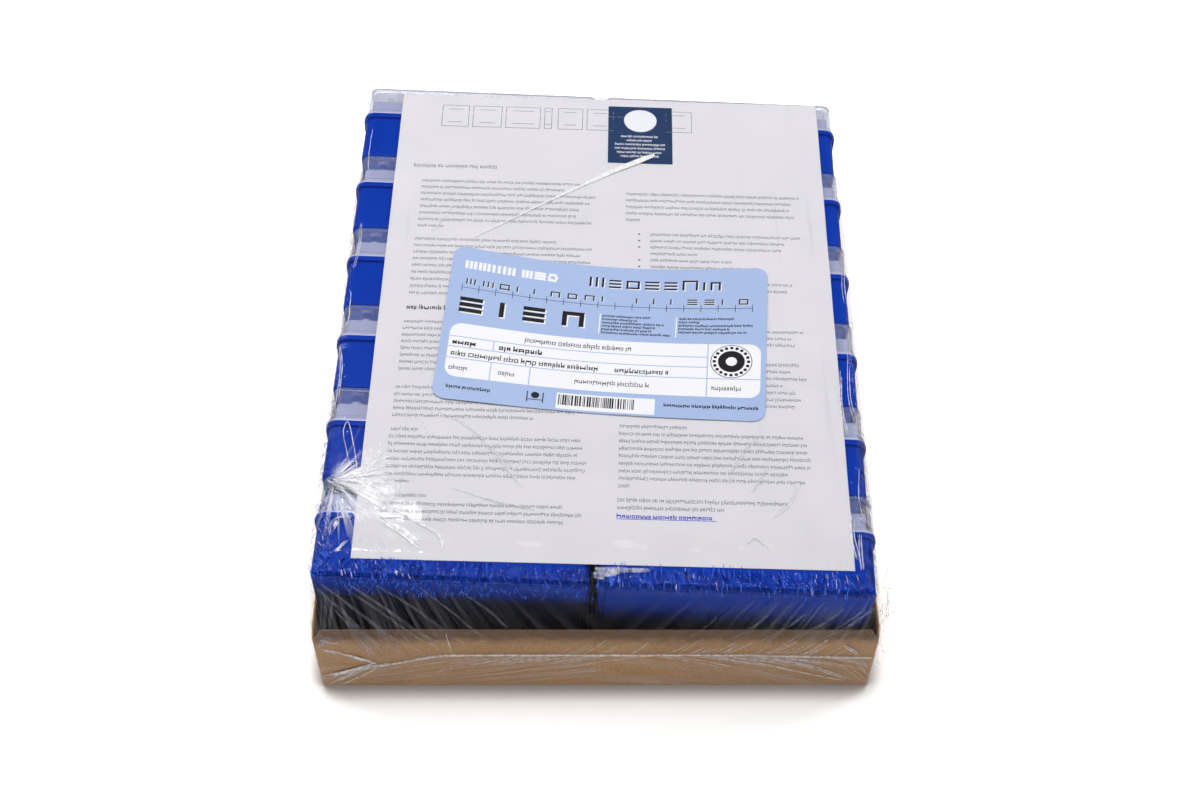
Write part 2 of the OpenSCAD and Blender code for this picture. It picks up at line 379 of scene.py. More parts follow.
class Strands(Gathered):
    """Thin strands of gathered film. Each takes the material that look names when it is added."""

    look = "crease"

    def ribbon(self, points, out, width, height, taper=True):
        """A thin closed strand along points. It is flattened in the direction out."""
        count, sides = len(points), 6
        self.keep(tube(len(self.verts), count, sides), self.look)
        for k, p in enumerate(points):
            ahead = (points[min(k + 1, count - 1)] - points[max(k - 1, 0)]).normalized()
            beside = ahead.cross(out).normalized()
            thin = sin(pi * (k + 0.5) / count) ** 0.35 if taper else 1.0
            self.verts += [p + beside * cos(a) * width / 2 * thin + out * sin(a) * height / 2 * thin
                           for a in circle(sides)]

    def gather(self, keys, width, count, spread, out, height):
        """A gathered fold: a few thin tapered strands side by side along the keys."""
        rng = self.rng
        for k in range(count):
            side = (k - (count - 1) / 2) * spread
            points = curve_points(keys, 8)
            beside = (points[-1] - points[0]).normalized().cross(out).normalized()
            trim = rng.randint(0, len(points) // 4) if count > 1 else 0
            points = points[trim:len(points) - rng.randint(0, trim + 1)]
            wander = rng.uniform(0, 50)
            line = [p + beside * (side + 0.25 * rough(i * 0.4, wander, 0)) for i, p in enumerate(points)]
            self.ribbon(line, out, width * rng.uniform(0.7, 1.2), height)

    def folds(self, point, out, height, *folds):
        """Gathered folds, each given as its width, number of strands and their spacing, then its keys."""
        for width, count, spread, *keys in folds:
            self.gather([point(*key) for key in keys], width, count, spread, out, height)

    def build(self, name, mats):
        return ride(super().build(name, mats, sharp=80.0), "film")


# ---------------------------------------------------------------- material helpers

def linear(r, g, b):
    """A colour given as 0 to 255 screen values, as the linear colour that shaders take."""
    return tuple(c / 12.92 if c <= 0.04045 else ((c + 0.055) / 1.055) ** 2.4
                 for c in (v / 255 for v in (r, g, b)))


class Tree:
    """Short calls for building a node material, or the world's nodes."""

    def __init__(self, name, world=False):
        self.owner = (bpy.data.worlds if world else bpy.data.materials).new(name)
        self.owner.use_nodes = True
        self.tree = self.owner.node_tree
        self.tree.nodes.clear()
        self.out = self.node("OutputWorld" if world else "OutputMaterial")

    def node(self, kind, props=None, **sockets):
        n = self.tree.nodes.new("ShaderNode" + kind)
        for key, value in (props or {}).items():
            setattr(n, key, value)
        for key, value in sockets.items():
            index = int(key[1:]) if key[0] == "i" and key[1:].isdigit() else key.replace("_", " ")
            self.put(n.inputs[index], value)
        return n

    def put(self, socket, value):
        """Links a socket, or sets it. A colour is given without its alpha."""
        if isinstance(value, bpy.types.NodeSocket):
            self.tree.links.new(value, socket)
        else:
            socket.default_value = (*value, 1.0) if socket.type == "RGBA" else value

    def first(self, kind, props=None, **sockets):
        """The first output of a new node."""
        return self.node(kind, props, **sockets).outputs[0]

    def maths(self, operation, a, b=0.0, clamp=False):
        return self.first("Math", {"operation": operation, "use_clamp": clamp}, i0=a, i1=b)

    def add(self, a, b):
        return self.maths("ADD", a, b)

    def mul(self, a, b):
        return self.maths("MULTIPLY", a, b)

    def scaled(self, vector, scale):
        return self.first("VectorMath", {"operation": "MULTIPLY"}, i0=vector, i1=scale)

    def position(self, scale=(1.0, 1.0, 1.0)):
        """The point being shaded, in millimetres, with each axis scaled."""
        return self.scaled(self.node("NewGeometry").outputs["Position"], tuple(s / MM for s in scale))

    def facing(self):
        """How far the surface faces the pack's back."""
        return self.split(self.node("NewGeometry").outputs["Normal"])[1]

    def split(self, vector):
        return self.node("SeparateXYZ", Vector=vector).outputs

    def painted(self, name, output="Fac"):
        """What paint() keeps under a name."""
        return self.node("Attribute", {"attribute_name": name}).outputs[output]

    def noise(self, vector, scale, detail=2.0, roughness=0.5, distortion=0.0):
        return self.first("TexNoise", Vector=vector, Scale=scale, Detail=detail, Roughness=roughness,
                          Distortion=distortion)

    def span(self, value, low, high, to_low=0.0, to_high=1.0):
        n = self.node("MapRange", {"interpolation_type": "SMOOTHSTEP"}, Value=value)
        for key, v in zip(("From Min", "From Max", "To Min", "To Max"), (low, high, to_low, to_high)):
            n.inputs[key].default_value = v
        return n.outputs["Result"]

    def mix(self, share, a, b):
        return self.node("Mix", {"data_type": "RGBA"}, i0=share, i6=a, i7=b).outputs[2]

    def bump(self, height, strength, distance=0.1):
        return self.first("Bump", Strength=strength, Distance=distance * MM, Height=height)

    def principled(self, **sockets):
        return self.first("BsdfPrincipled", **sockets)

    def mix_shader(self, share, a, b):
        return self.first("MixShader", i0=share, i1=a, i2=b)

    def finish(self, shader):
        self.tree.links.new(shader, self.out.inputs["Surface"])
        return self.owner


# ---------------------------------------------------------------- materials

def base_plastic():
    """Moulded blue polypropylene. Painted shade darkens its front and outer sides downwards to a near-black,
    for the shadow in the narrow gaps between the racks and the tray, as light enters only from above. The
    undersides have a lighter painted blue and a painted glow of their own, for the light that comes through
    the plastic."""
    t = Tree("base_plastic")
    at = t.position()
    x, y, z = t.split(at)
    # Painted shade: the racks' faces darken downwards along a noisy edge, starting higher on the left column
    # than on the right, on the front of the front rows and on the outer sides.
    level = t.add(z, t.mul(t.noise(at, 0.03), 7.0))
    shallow = t.span(level, RACK_TOP - 19.0, RACK_TOP - 2.0)
    deep = t.span(level, RACK_TOP - 32.0, RACK_TOP - 3.0)
    free_of_painted_shade = t.first("Mix", i0=t.span(x, GAP_X - 1.0, GAP_X + 1.0), i2=shallow, i3=deep)
    outer = t.span(t.maths("ABSOLUTE", x), 112.0, 118.0, 0.0, 0.8)
    front = t.span(y, FRONT_Y + 18.0, FRONT_Y + 8.0)
    dark = t.mul(t.maths("SUBTRACT", 1.0, free_of_painted_shade), t.maths("MAXIMUM", outer, front))
    cloud = t.noise(at, 0.05, 3.0)
    blue = t.mix(cloud, (0.0008, 0.036, 0.38), (0.0014, 0.046, 0.45))
    # The near-black colour of the painted shade.
    colour = t.mix(dark, blue, (0.008, 0.009, 0.027))
    # Painted light: the undersides of the racks behind the front row, seen through the lids, are given a
    # lighter blue and a glow, though no lamp lights them there.
    along = t.node("VectorMath", {"operation": "DOT_PRODUCT"}, i0=at,
                   i1=(-sin(TURN), cos(TURN), 0.0)).outputs["Value"]
    into = t.maths("FLOORED_MODULO", t.maths("SUBTRACT", along, FRONT_Y), PITCH)
    bottom = t.mul(t.span(into, 2.0, 0.5), t.span(along, FRONT_Y + 20.0, FRONT_Y + 30.0))
    bottom = t.mul(bottom, t.span(t.facing(), -0.9, -0.98))
    # The lighter blue base colour and the emission are the painted light on the undersides.
    return t.finish(t.principled(
        Base_Color=t.mix(bottom, colour, (0.03, 0.34, 1.0)), Roughness=t.span(cloud, 0.2, 0.8, 0.30, 0.40),
        Specular_IOR_Level=0.05, Normal=t.bump(t.noise(at, 1.6, 3.0), 0.10, 0.05),
        Emission_Color=t.mix(bottom, (0.0, 0.0, 0.0), (0.015, 0.05, 0.22)), Emission_Strength=1.0))


def clear_plastic():
    """Clear polypropylene with a faint cold haze and its gloss, whiter where the flange and band are thick
    and on the faces across the pack's length, such as the lightly frosted top panel."""
    t = Tree("lid_plastic")
    at = t.position()
    cloud = t.noise(at, 0.08, 3.0)
    panel = t.span(t.maths("ABSOLUTE", t.facing()), 0.8, 0.95)
    haze = t.add(t.span(cloud, 0.2, 0.8, 0.08, 0.12), t.mul(t.painted("thick"), 0.5))
    haze = t.maths("ADD", haze, t.mul(panel, 0.22), clamp=True)
    body = t.principled(Base_Color=t.mix(cloud, linear(205, 208, 232), linear(222, 224, 242)),
                        Roughness=0.28, Normal=t.bump(t.noise(at, 0.5), 0.15, 0.2))
    edge = t.mul(t.first("Fresnel", IOR=1.45), 0.45)
    tint = t.mix(panel, (0.95, 0.965, 1.0), (0.88, 0.87, 0.94))
    seen = t.mix_shader(haze, t.first("BsdfTransparent", Color=tint), body)
    return t.finish(t.mix_shader(edge, seen, t.first("BsdfGlossy", Roughness=0.12)))


def plain_plastic(name, dark, light, roughness):
    """Natural, unpainted polypropylene of the tips and their plates."""
    t = Tree(name)
    at = t.position()
    colour = t.mix(t.noise(at, 0.15, 3.0), linear(*dark), linear(*light))
    return t.finish(t.principled(Base_Color=colour, Roughness=roughness,
                                 Normal=t.bump(t.noise(at, 1.2), 0.1, 0.05)))


def kraft():
    """Kraft board: fibres, flecks and a painted shadow band under the front wall's top edge."""
    t = Tree("kraft_board")
    at = t.position()
    fibre = t.noise(t.position((0.25, 0.25, 2.2)), 0.9, 4.0, 0.6)
    fleck = t.noise(at, 0.8, 5.0, 0.8)
    board = t.mix(fibre, linear(180, 137, 95), linear(214, 171, 124))
    board = t.mix(t.span(fleck, 0.42, 0.62, 0.0, 0.6), board, linear(144, 111, 78))
    board = t.mix(t.span(t.noise(at, 0.03, 3.0), 0.3, 0.7, 0.0, 0.3), board, linear(212, 172, 126))
    # Painted shadow: a dark band with a noisy lower edge under the top edge of the tray's front wall.
    _, y, z = t.split(at)
    level = t.add(z, t.mul(t.noise(at, 0.18, 3.0), 7.0))
    painted_shadow_strip = t.span(level, TRAY_HI.z - 11.0, TRAY_HI.z - 1.0)
    front = t.span(y, TRAY_LO.y + 2.0, TRAY_LO.y + 0.5)
    board = t.mix(t.mul(t.mul(painted_shadow_strip, front), 0.72), board, linear(66, 52, 46))
    return t.finish(t.principled(Base_Color=board, Roughness=0.86, Specular_IOR_Level=0.25,
                                 Normal=t.bump(t.add(fibre, fleck), 0.25, 0.08)))


def paper(name, dark, light, roughness=0.8, grain=0.12):
    """Paper or ink on paper: a faint cloud in the colour and a fine tooth."""
    t = Tree(name)
    at = t.position()
    colour = t.mix(t.noise(at, 0.04, 4.0, 0.6), linear(*dark), linear(*light))
    return t.finish(t.principled(Base_Color=colour, Roughness=roughness, Specular_IOR_Level=0.3,
                                 Normal=t.bump(t.noise(at, 3.0), grain, 0.04)))


def film():
    """Shrink film: clear and glossy, with fine puckers at the racks' edges and drawn streaks lower down.
    Painted shade darkens it in the puckers' hollows and along the slack, and white haze paints glare in the
    rays and the patch by the knot on the left.
    """
    t = Tree("film")

    def ripples(name, *shape, scale=(1.0, 1.0, 1.0)):
        return t.noise(t.scaled(t.painted(name, "Vector"), scale), 1.0, *shape)

    pucker, drawn, rays, slack, patch = map(t.painted, ("pucker", "drawn", "rays", "slack", "patch"))
    crumple = ripples("wrap", 3.0, 0.55, 0.7, scale=(0.55, 0.16, 1.0))
    streaks, burst = ripples("fan", 4.0, 0.6), ripples("burst", 3.0, 0.6, 0.4)
    hang = t.noise(t.position((0.30, 0.011, 0.0)), 1.0, 3.0, 0.6)
    height = t.mul(t.mul(crumple, pucker), 1.3)
    for field, share, weight in ((streaks, drawn, 0.4), (burst, rays, 0.7), (hang, slack, 0.5)):
        height = t.add(height, t.mul(t.mul(field, share), weight))
    relief = t.bump(t.add(height, t.mul(t.noise(t.position(), 0.03), 1.2)), 1.0, 0.9)
    haze = t.mul(t.span(crumple, 0.62, 0.70, 0.0, 0.006), pucker)
    # Painted glare: white haze in the burst of rays and in the patch by the knot stands in for glints on the
    # gathered film; the gathering and its relief are real.
    for field, share, low, high, most in ((streaks, drawn, 0.38, 0.80, 0.14), (burst, rays, 0.52, 0.62, 0.6),
                                          (burst, patch, 0.32, 0.50, 0.9)):
        haze = t.add(haze, t.mul(t.span(field, low, high, 0.0, most), share))
    # Painted shade: the clear part turns grey where the puckers sink and along the slack, though the film is
    # clear there.
    painted_film_shade = t.mul(t.span(crumple, 0.54, 0.38, 0.0, 0.9), t.span(pucker, 0.4, 0.8))
    painted_film_shade = t.add(painted_film_shade, t.mul(t.span(hang, 0.55, 0.75, 0.0, 0.10), slack))
    clear = t.first("BsdfTransparent", Color=t.mix(painted_film_shade, (0.99, 0.99, 0.99), (0.45, 0.45, 0.55)))
    gloss = t.first("BsdfGlossy", Color=(0.94, 0.96, 1.0), Roughness=0.08, Normal=relief)
    white = t.first("BsdfDiffuse", Color=(0.94, 0.93, 0.98))
    shine = t.mul(t.span(drawn, 0.0, 0.3, 0.42, 0.14), t.span(pucker, 0.2, 1.0, 1.0, 0.7))
    edge = t.mul(t.first("Fresnel", IOR=1.5, Normal=relief), shine)
    return t.finish(t.mix_shader(edge, t.mix_shader(haze, clear, white), gloss))


def crease_film(name, haze, shine, tint, milk):
    """Film gathered into folds and seams, several layers thick: whiter and less clear."""
    t = Tree(name)
    at = t.position()
    cloud = t.noise(at, 0.35, 3.0)
    gloss = t.first("BsdfGlossy", Color=(1.0, 1.0, 1.0), Roughness=0.30,
                    Normal=t.bump(t.noise(at, 0.9, 3.0), 0.5, 0.4))
    seen = t.mix_shader(t.span(cloud, 0.3, 0.7, *haze), t.first("BsdfTransparent", Color=tint),
                        t.first("BsdfDiffuse", Color=milk))
    return t.finish(t.mix_shader(t.span(cloud, 0.35, 0.65, shine * 0.4, shine), seen, gloss))


def all_materials():
    """Every material of the pack, by its short name."""
    pale, paler, cream = (0.98, 0.98, 0.98), (0.99, 0.99, 0.99), (0.97, 0.96, 0.99)
    return {
        "base": base_plastic(),
        "lid": clear_plastic(),
        "plate": plain_plastic("plate_plastic", (172, 174, 206), (190, 192, 220), 0.42),
        "tip": plain_plastic("tip_plastic", (176, 180, 208), (198, 200, 220), 0.35),
        "kraft": kraft(),
        "sheet": paper("sheet_paper", (220, 218, 223), (230, 227, 231)),
        "grey": paper("grey_ink", (112, 110, 122), (142, 140, 152)),
        "dark": paper("dark_ink", (66, 64, 76), (92, 90, 104)),
        "navy": paper("navy_ink", (24, 50, 94), (34, 64, 108), 0.5),
        "link": paper("link_ink", (44, 56, 190), (80, 88, 200)),
        "label": paper("label_paper", (158, 178, 218), (168, 187, 224), 0.42, 0.06),
        "black": paper("black_ink", (10, 10, 14), (22, 22, 28), 0.4),
        "white": paper("white_ink", (232, 232, 238), (240, 240, 244), 0.45),
        "film": film(),
        "crease": crease_film("crease_film", (0.30, 0.85), 0.14, pale, cream),
        "fold": crease_film("fold_film", (0.06, 0.30), 0.05, paler, (0.76, 0.78, 0.92)),
        # Its blue milk paints lighter blue light on crinkles over the racks.
        "pucker": crease_film("pucker_film", (0.20, 0.70), 0.03, pale, (0.02, 0.15, 0.88)),
        "veil": crease_film("veil_film", (0.015, 0.05), 0.012, paler, (0.74, 0.76, 0.95)),
        "band": crease_film("band_film", (0.62, 0.85), 0.05, paler, cream),
        "wisp": crease_film("wisp_film", (0.15, 0.50), 0.08, (0.93, 0.92, 0.91), (0.94, 0.93, 0.94)),
    }


# ---------------------------------------------------------------- racks

def base_path():
    inner = -BASE_WALL
    return rounded_path([
        (-FOOT_IN - 2.0, -FOOT_H, 0), (-FOOT_IN, -FOOT_H, 0.5), (-FOOT_IN, 0, 0.3),
        (0, 0, 1.3), (0, BASE_H - RIM_H, 0.4), (RIM_OUT, BASE_H - RIM_H, 0.6),
        (RIM_OUT, BASE_H, 0.5), (inner, BASE_H, 0.3), (inner, LEDGE_Z, 0.2),
        (inner - LEDGE_W, LEDGE_Z, 0.2), (inner - LEDGE_W, LEDGE_Z - LEDGE_H, 0.2),
        (inner, LEDGE_Z - LEDGE_H, 0.2), (inner, BASE_WALL, 1.0), (inner - 3.0, BASE_WALL, 0)])


def lid_path():
    return rounded_path([
        (-LID_WALL, BASE_H, 0), (FLANGE_OUT, BASE_H, 0.3), (FLANGE_OUT, BASE_H + FLANGE_H, 0.4),
        (BAND_OUT, BASE_H + FLANGE_H, 0.3), (BAND_OUT, BASE_H + BAND_H, 0.3),
        (0, BASE_H + BAND_H, 0.2), (0, PITCH, 1.0), (-RECESS_IN, PITCH, 0.5),
        (-RECESS_IN, PITCH - RECESS_H, 0.4), (-RECESS_IN - 3.0, PITCH - RECESS_H, 0)])


def tip_profile():
    """(radius, height) points round a tip's wall, from its point up outside and down inside."""
    return [(0.55, -26.9), (1.3, -14.0), (2.35, -5.0), (2.45, -0.05), (3.0, 0.0), (3.0, 0.5),
            (2.9, COLLAR_H - 0.25), (2.75, COLLAR_H), (2.1, COLLAR_H), (1.5, -6.0),
            (0.95, -14.0), (0.35, -26.9)]


def add_tip(verts, faces, x, y, sides, rib):
    """A tip, with every second side of its collar moved out by rib."""
    at = len(verts) + np.arange(len(tip_profile()) * sides).reshape(-1, sides)
    faces += grid(np.vstack((at, at[:1])), True)
    for k, (r, z) in enumerate(tip_profile()):
        for i, a in enumerate(circle(sides)):
            grown = r + (rib if 4 <= k <= 6 and i % 2 else 0.0)
            verts.append((x + grown * cos(a), y + grown * sin(a), DECK_Z + z))


def tips_mesh(material):
    """96 tips. The outer ones, which show through the lid, have ribbed collars with more sides."""
    verts, faces = [], []
    for i in range(TIP_COLS):
        for j in range(TIP_ROWS):
            shown = i in (0, TIP_COLS - 1) or j in (0, TIP_ROWS - 1)
            x = (i - (TIP_COLS - 1) / 2) * TIP_PITCH
            y = (j - (TIP_ROWS - 1) / 2) * TIP_PITCH
            add_tip(verts, faces, x, y, 20 if shown else 8, -0.16 if shown else 0.0)
    ob = make("tips_master", verts, faces, [material], sharp=30.0)
    outward(ob.data)
    return ob


def build_racks(mats):
    """Twelve racks: three modelled pieces each, and the tip plate as the CAD has it."""
    kinds = {
        "base": (shell("base_master", base_path(), mats["base"]), "base_plastic"),
        "lid": (shell("lid_master", lid_path(), mats["lid"], closed=False), "lid_plastic"),
        "tips": (tips_mesh(mats["tip"]), "tip_plastic"),
    }
    for master, _ in kinds.values():
        master.data.transform(Matrix.Scale(1 / MM, 4))
    for side in SIDES:
        for row in ROWS:
            at = Matrix.Scale(MM, 4) @ rack_matrix(side, row)
            for kind, (master, slot) in kinds.items():
                ob = show(f"rack_{kind}_{side}_{row}", master.data.copy())
                ob.data.transform(at)
                ride(ob, slot, f"{kind}_{side}_{row}")
            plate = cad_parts[f"tip_plate_{side}_{row}"]
            plate.data.materials.clear()
            plate.data.materials.append(mats["plate"])
    for master, _ in kinds.values():
        bpy.data.objects.remove(master)


# ---------------------------------------------------------------- tray

def lean(p):
    """Where the tray's skin goes: its walls follow the turned racks, drawn in by the film."""
    t = (p.y - TRAY_LO.y) / (TRAY_HI.y - TRAY_LO.y)
    h = clamp((p.z - TRAY_LO.z) / SIDE_H, 0.0, 1.05)
    left, right = (between(between(*low, t), between(*top, t), h) for low, top in (LEFT_IN, RIGHT_IN))
    side = (p.x - TRAY_LO.x) / (TRAY_HI.x - TRAY_LO.x)
    waist = 0.4 * h * sin(pi * clamp(t)) * (1 - 2 * side)
    return Vector((p.x + between(left, -right, side) + waist, p.y, p.z))


def tray_outline():
    """Points round the tray's outside, with their outward normal and the height of the wall there."""
    half, tall = (TRAY_HI - TRAY_LO) / 2, TRAY_HI.z - TRAY_LO.z
    corner, count = tall - CUT_H, 28
    out = []
    for n in (Vector((0, -1)), Vector((1, 0)), Vector((0, 1)), Vector((-1, 0))):
        t = Vector((-n.y, n.x))
        along, reach, top = (half.x, half.y, tall) if n.y else (half.y, half.x, SIDE_H)
        steps = [FOLD_R - along, FOLD_R - along + 1.0]
        steps += [(along - CUT_W) * (2 * k / count - 1) for k in range(count + 1)]
        steps += [along - FOLD_R - 1.0, along - FOLD_R]
        for s in steps:
            edge = clamp((along - abs(s) - FOLD_R) / (CUT_W - FOLD_R))
            out.append((n * reach + t * s, n, corner + (top - corner) * edge))
        for k in range(1, 4):
            a = pi / 8 * k
            m = n * cos(a) + t * sin(a)
            out.append((n * (reach - FOLD_R) + t * (along - FOLD_R) + m * FOLD_R, m, corner))
    return out


def tray_levels():
    """Rings of the tray's skin, from the middle of its underside, over its walls, to its floor: what the
    height counts from, the offset from the outline, and the height, which on a wall is a share of it."""
    levels = [("floor", -3.0, 0.0), ("floor", -FOLD_R, 0.0), ("floor", -0.35, 0.35), ("floor", 0.0, FOLD_R)]
    levels += [("wall", 0.0, k / 9) for k in range(1, 9)]
    levels += [("edge", 0.0, 0.0), ("edge", -EDGE_R, EDGE_R), ("edge", EDGE_R - BOARD, EDGE_R),
               ("edge", -BOARD, 0.0)]
    levels += [("wall", -BOARD, 1 - k / 6) for k in range(1, 6)]
    return levels + [("floor", -BOARD, BOARD), ("floor", -3.0, BOARD)]


def build_tray(material):
    """The kraft tray: floor and walls as one folded skin of board, and its four glued tabs."""
    mid, half = (TRAY_LO + TRAY_HI) / 2, (TRAY_HI - TRAY_LO) / 2
    z0, ring, levels = TRAY_LO.z, tray_outline(), tray_levels()
    verts = []
    for kind, off, h in levels:
        for at, normal, high in ring:
            z = {"wall": FOLD_R + (high - FOLD_R) * h, "edge": high - EDGE_R + h, "floor": h}[kind]
            push = off + 0.12 * rough(at.x * 0.02, at.y * 0.02, h) * smoothstep(2.0, high, z)
            verts.append(lean(Vector((*(mid.xy + at + normal * push), z0 + z))))
    faces = tube(0, len(levels), len(ring))
    high = TRAY_HI.z - TRAY_LO.z - CUT_H - TAB_DROP
    for sx in (-1, 1):
        for sy in (-1, 1):
            x1 = mid.x + sx * (half.x - BOARD - 0.05)
            y1 = mid.y + sy * (half.y - BOARD - 0.02)
            x0, y0 = x1 - sx * TAB_L, y1 - sy * BOARD
            faces += tube(len(verts), 2, 4)
            verts += [lean(Vector((x, y, z))) for z in (z0 + BOARD, z0 + high)
                      for x, y in ((x0, y0), (x1, y0), (x1, y1), (x0, y1))]
    ob = make("kraft_tray", verts, faces, [material], sharp=50.0)
    outward(ob.data)
    return ride(ob, "kraft_board", "tray")


# ---------------------------------------------------------------- printed sheet and label

def turned(at, turn, u, v):
    """Where a point on a turned sheet lies in the row frame."""
    c, s = cos(turn), sin(turn)
    return at.x + u * c - v * s, at.y + u * s + v * c


def sheet_point(u, v, h):
    """The sheet rests on the racks' rims, sinks a little between them and droops past the last ones."""
    x, y = turned(SHEET_AT, SHEET_TURN, u, v)
    loose = 0.5 + 0.15 * rough(u * 0.02, v * 0.02, 3.0)
    return (x, y, SHEET_Z + 0.03 - droop(x, y, loose, 1.25) + h)


def label_point(u, v, h):
    """The label's ends are drawn up by the shrunk film, so its middle hangs lower on the sheet."""
    bow, reach = 4.5 + 0.05 * v, 76.5
    v -= bow * max(1 - (u / reach) ** 2, 0.0) ** 1.3
    wave = 0.1 * sin(u * 0.07 + v * 0.02)
    return (*turned(LABEL_AT, LABEL_TURN, u, v), LABEL_Z + 0.12 + wave + h)


def sheet_blocks():
    """Blocks of text on the sheet: left end, right ends of the lines, height of the first line, and the ink
    and size where they aren't grey and small."""
    return [
        (-98.8, (-55,), 88.4, "grey", 1.9),
        (-93.8, (-10, -21, -6, -8, -13, -16, -7, -80), 77.9),
        (-94.6, (-24, -7, -13, -8, -11, -20, -9, -14, -40), 39.6),
        (-95.1, (-58,), -3.2, "dark", 1.9),
        (-95.6, (-66,), -11.8),
        (-95.9, (-9, -14, -8, -20, -12, -9, -30), -15.8),
        (-96.3, (-70,), -49.6),
        (-96.5, (-16, -42, -10, -32), -53.8),
        (-96.3, (-83.6,), -73.2),
        (-97.0, (-11, -10, -12, -7, -7, -13, -86), -77.2),
        (-96.9, (-78,), -108.1),
        (-97.2, (-18, -9, -17), -112.4),
        (8.7, (96, 92.5, 90.5, 93, 16), 72.6),
        (20.8, (95, 86.5, 85, 44, 62, 67, 58, 71), 46.6),
        (8.0, (89.6, 87), 16.3),
        (7.4, (93, 87, 89), -12.4),
        (7.0, (91, 87, 93, 82, 88, 91, 87.5), -31.8),
        (6.5, (38,), -68.6),
        (6.2, (90, 91.5, 92, 92, 92, 83, 90, 12), -72.7),
        (5.7, (82, 53.5), -107.7, "grey", 1.65),
        (5.4, (49,), -116.2, "link", 1.65),
    ]


def build_certificate(mats):
    """The printed sheet: one leaf of paper, and its print in a layer of its own."""
    leaf = Plates(sheet_point, thick=SHEET_T)
    leaf.add(-SHEET_W / 2, -SHEET_L / 2, SHEET_W / 2, SHEET_L / 2, "sheet", cell=4.5)
    ride(leaf.build("certificate_sheet", mats), "sheet_paper", "certificate")
    ink = Plates(sheet_point, SHEET_T, seed=7)
    line, wide_pitch, close_pitch = 0.3, 4.22, 3.92
    for x0, ends, y, *rest in sheet_blocks():
        look, size = rest or ("grey", 1.45)
        for k, end in enumerate(ends):
            low = y - k * (wide_pitch if y > 0 else close_pitch) - size / 2
            ink.greek(x0, end, low, size, look, 0.15 if look == "grey" else 0.24)
    for k in (0, 1, 2, 4, 5, 6):
        y = 46.2 - k * wide_pitch
        ink.add(14.7, y, 15.8, y + 0.9, "dark", 0.45)
    ink.add(5.4, -117.6, 49, -117.3, "link")
    for x0, x1 in ((-87, -73), (-71, -56), (-54, -36), (-34, -30), (-27, -14), (-12, 2), (29, 42.5)):
        for y, inner in ((116.2, 119.2), (131.6, 128.6)):
            ink.add(x0, y, x1, y + line, "grey")
            ink.add(x0 + 3.4, inner, x1 - 3.4, inner + line, "grey")
        for x in (x0, x1 - line):
            ink.add(x, 116.2, x + line, 131.9, "grey")
    ink.add(-0.8, 94.0, 32.3, 134.8, "navy")
    ink.add(7.3, 115.8, 24.3, 132.4, "white", 8.3, 1)
    for k, half in enumerate((10, 7, 13, 13, 12, 10)):
        ink.greek(15.8 - half, 15.8 + half, 112.0 - k * 2.7, 1.15, "white", 0.22, 1)
    return ride(ink.build("certificate_print", mats), "sheet_paper")


def label_title(ink):
    """Rows of plain marks where a name and a title would be, each dark mark with a light edge."""
    x = -71.0
    for wide in (6.6, 6.6, 7.6, 2.2, 4.6, 6.2, 6.4, 6.0):
        ink.mark(ink.rng, x, 32.0, wide - 0.9, 4.9, 1.5, "white")
        x += wide
    x = -10.5
    for k, wide in enumerate((8.6, 7.4, 8.0, 8.4, 7.8, 9.0, 2.6, 6.6)):
        ink.letter(k, x, 31.6, wide - 1.6, 6.3 if k in (0, 5) else 5.2, 1.0, 0.5)
        x += wide + 0.9
    for k, (x, wide) in enumerate(((-71, 11.0), (-51.8, 2.6), (-40.5, 10.4), (-21.8, 10.4))):
        ink.letter(k + 20, x, 5.2, wide, 9.0, 2.3, 0.7)


def label_ruler(ink):
    """A scale with 18 ticks, and a small mark over most of its spaces."""
    step, first = 8.18, -71.0
    ink.add(first, 19.9, first + 17 * step, 20.15, "black")
    for k in range(18):
        x = first + k * step
        ink.add(x - 0.14, 17.8, x + 0.14, 22.2, "black")
        if k not in (9, 17):
            ink.letter(k + 40, x + 1.6, 22.3, ink.rng.choice((0.7, 4.8, 5.2, 4.6)), 3.4, 0.7, 0.3)


def label_panel(ink):
    """The white table with its rules, its rows of greeked words and a plain round seal."""
    ink.add(-73.4, -33.0, 72.5, -1.8, "white", 5.5, cell=3.0)
    rule = 0.5
    for y, x1 in ((-10.0, 47.5), (-16.0, 47.5), (-22.6, 72.4)):
        ink.add(-73.2, y, x1, y + rule, "label", layer=1)
    for x, y0, y1 in ((-52.4, -16.0, -10.0), (-52.4, -33.0, -22.6), (-34.2, -33.0, -22.6),
                      (47.5, -33.0, -1.8)):
        ink.add(x, y0, x + rule, y1, "label", layer=1)
    for x0, x1, y, size, stroke in (
            (-38, 13, -7.6, 2.1, 0.16), (-71.5, -60, -14.4, 2.1, 0.3), (-49.5, -29, -14.4, 2.1, 0.3),
            (-71.5, -2, -20.9, 2.2, 0.2), (5, 31, -20.9, 2.2, 0.2), (-71.5, -60, -29.0, 2.0, 0.15),
            (-48.5, -41, -29.0, 2.0, 0.15), (-13, 23, -29.0, 2.0, 0.15), (50, 65, -29.0, 2.0, 0.15)):
        ink.greek(x0, x1, y, size, "black", stroke, 1)
    cx, cy, dots = 58.8, -12.1, 20
    for layer, (r, look) in enumerate(((9.8, "black"), (9.45, "white"), (6.3, "black"), (2.6, "white")), 1):
        ink.spot(cx, cy, r, look, r, layer)
    for a in circle(dots):
        ink.spot(cx + 8.0 * cos(a), cy + 8.0 * sin(a), 0.75, "black", 0.4, 3)


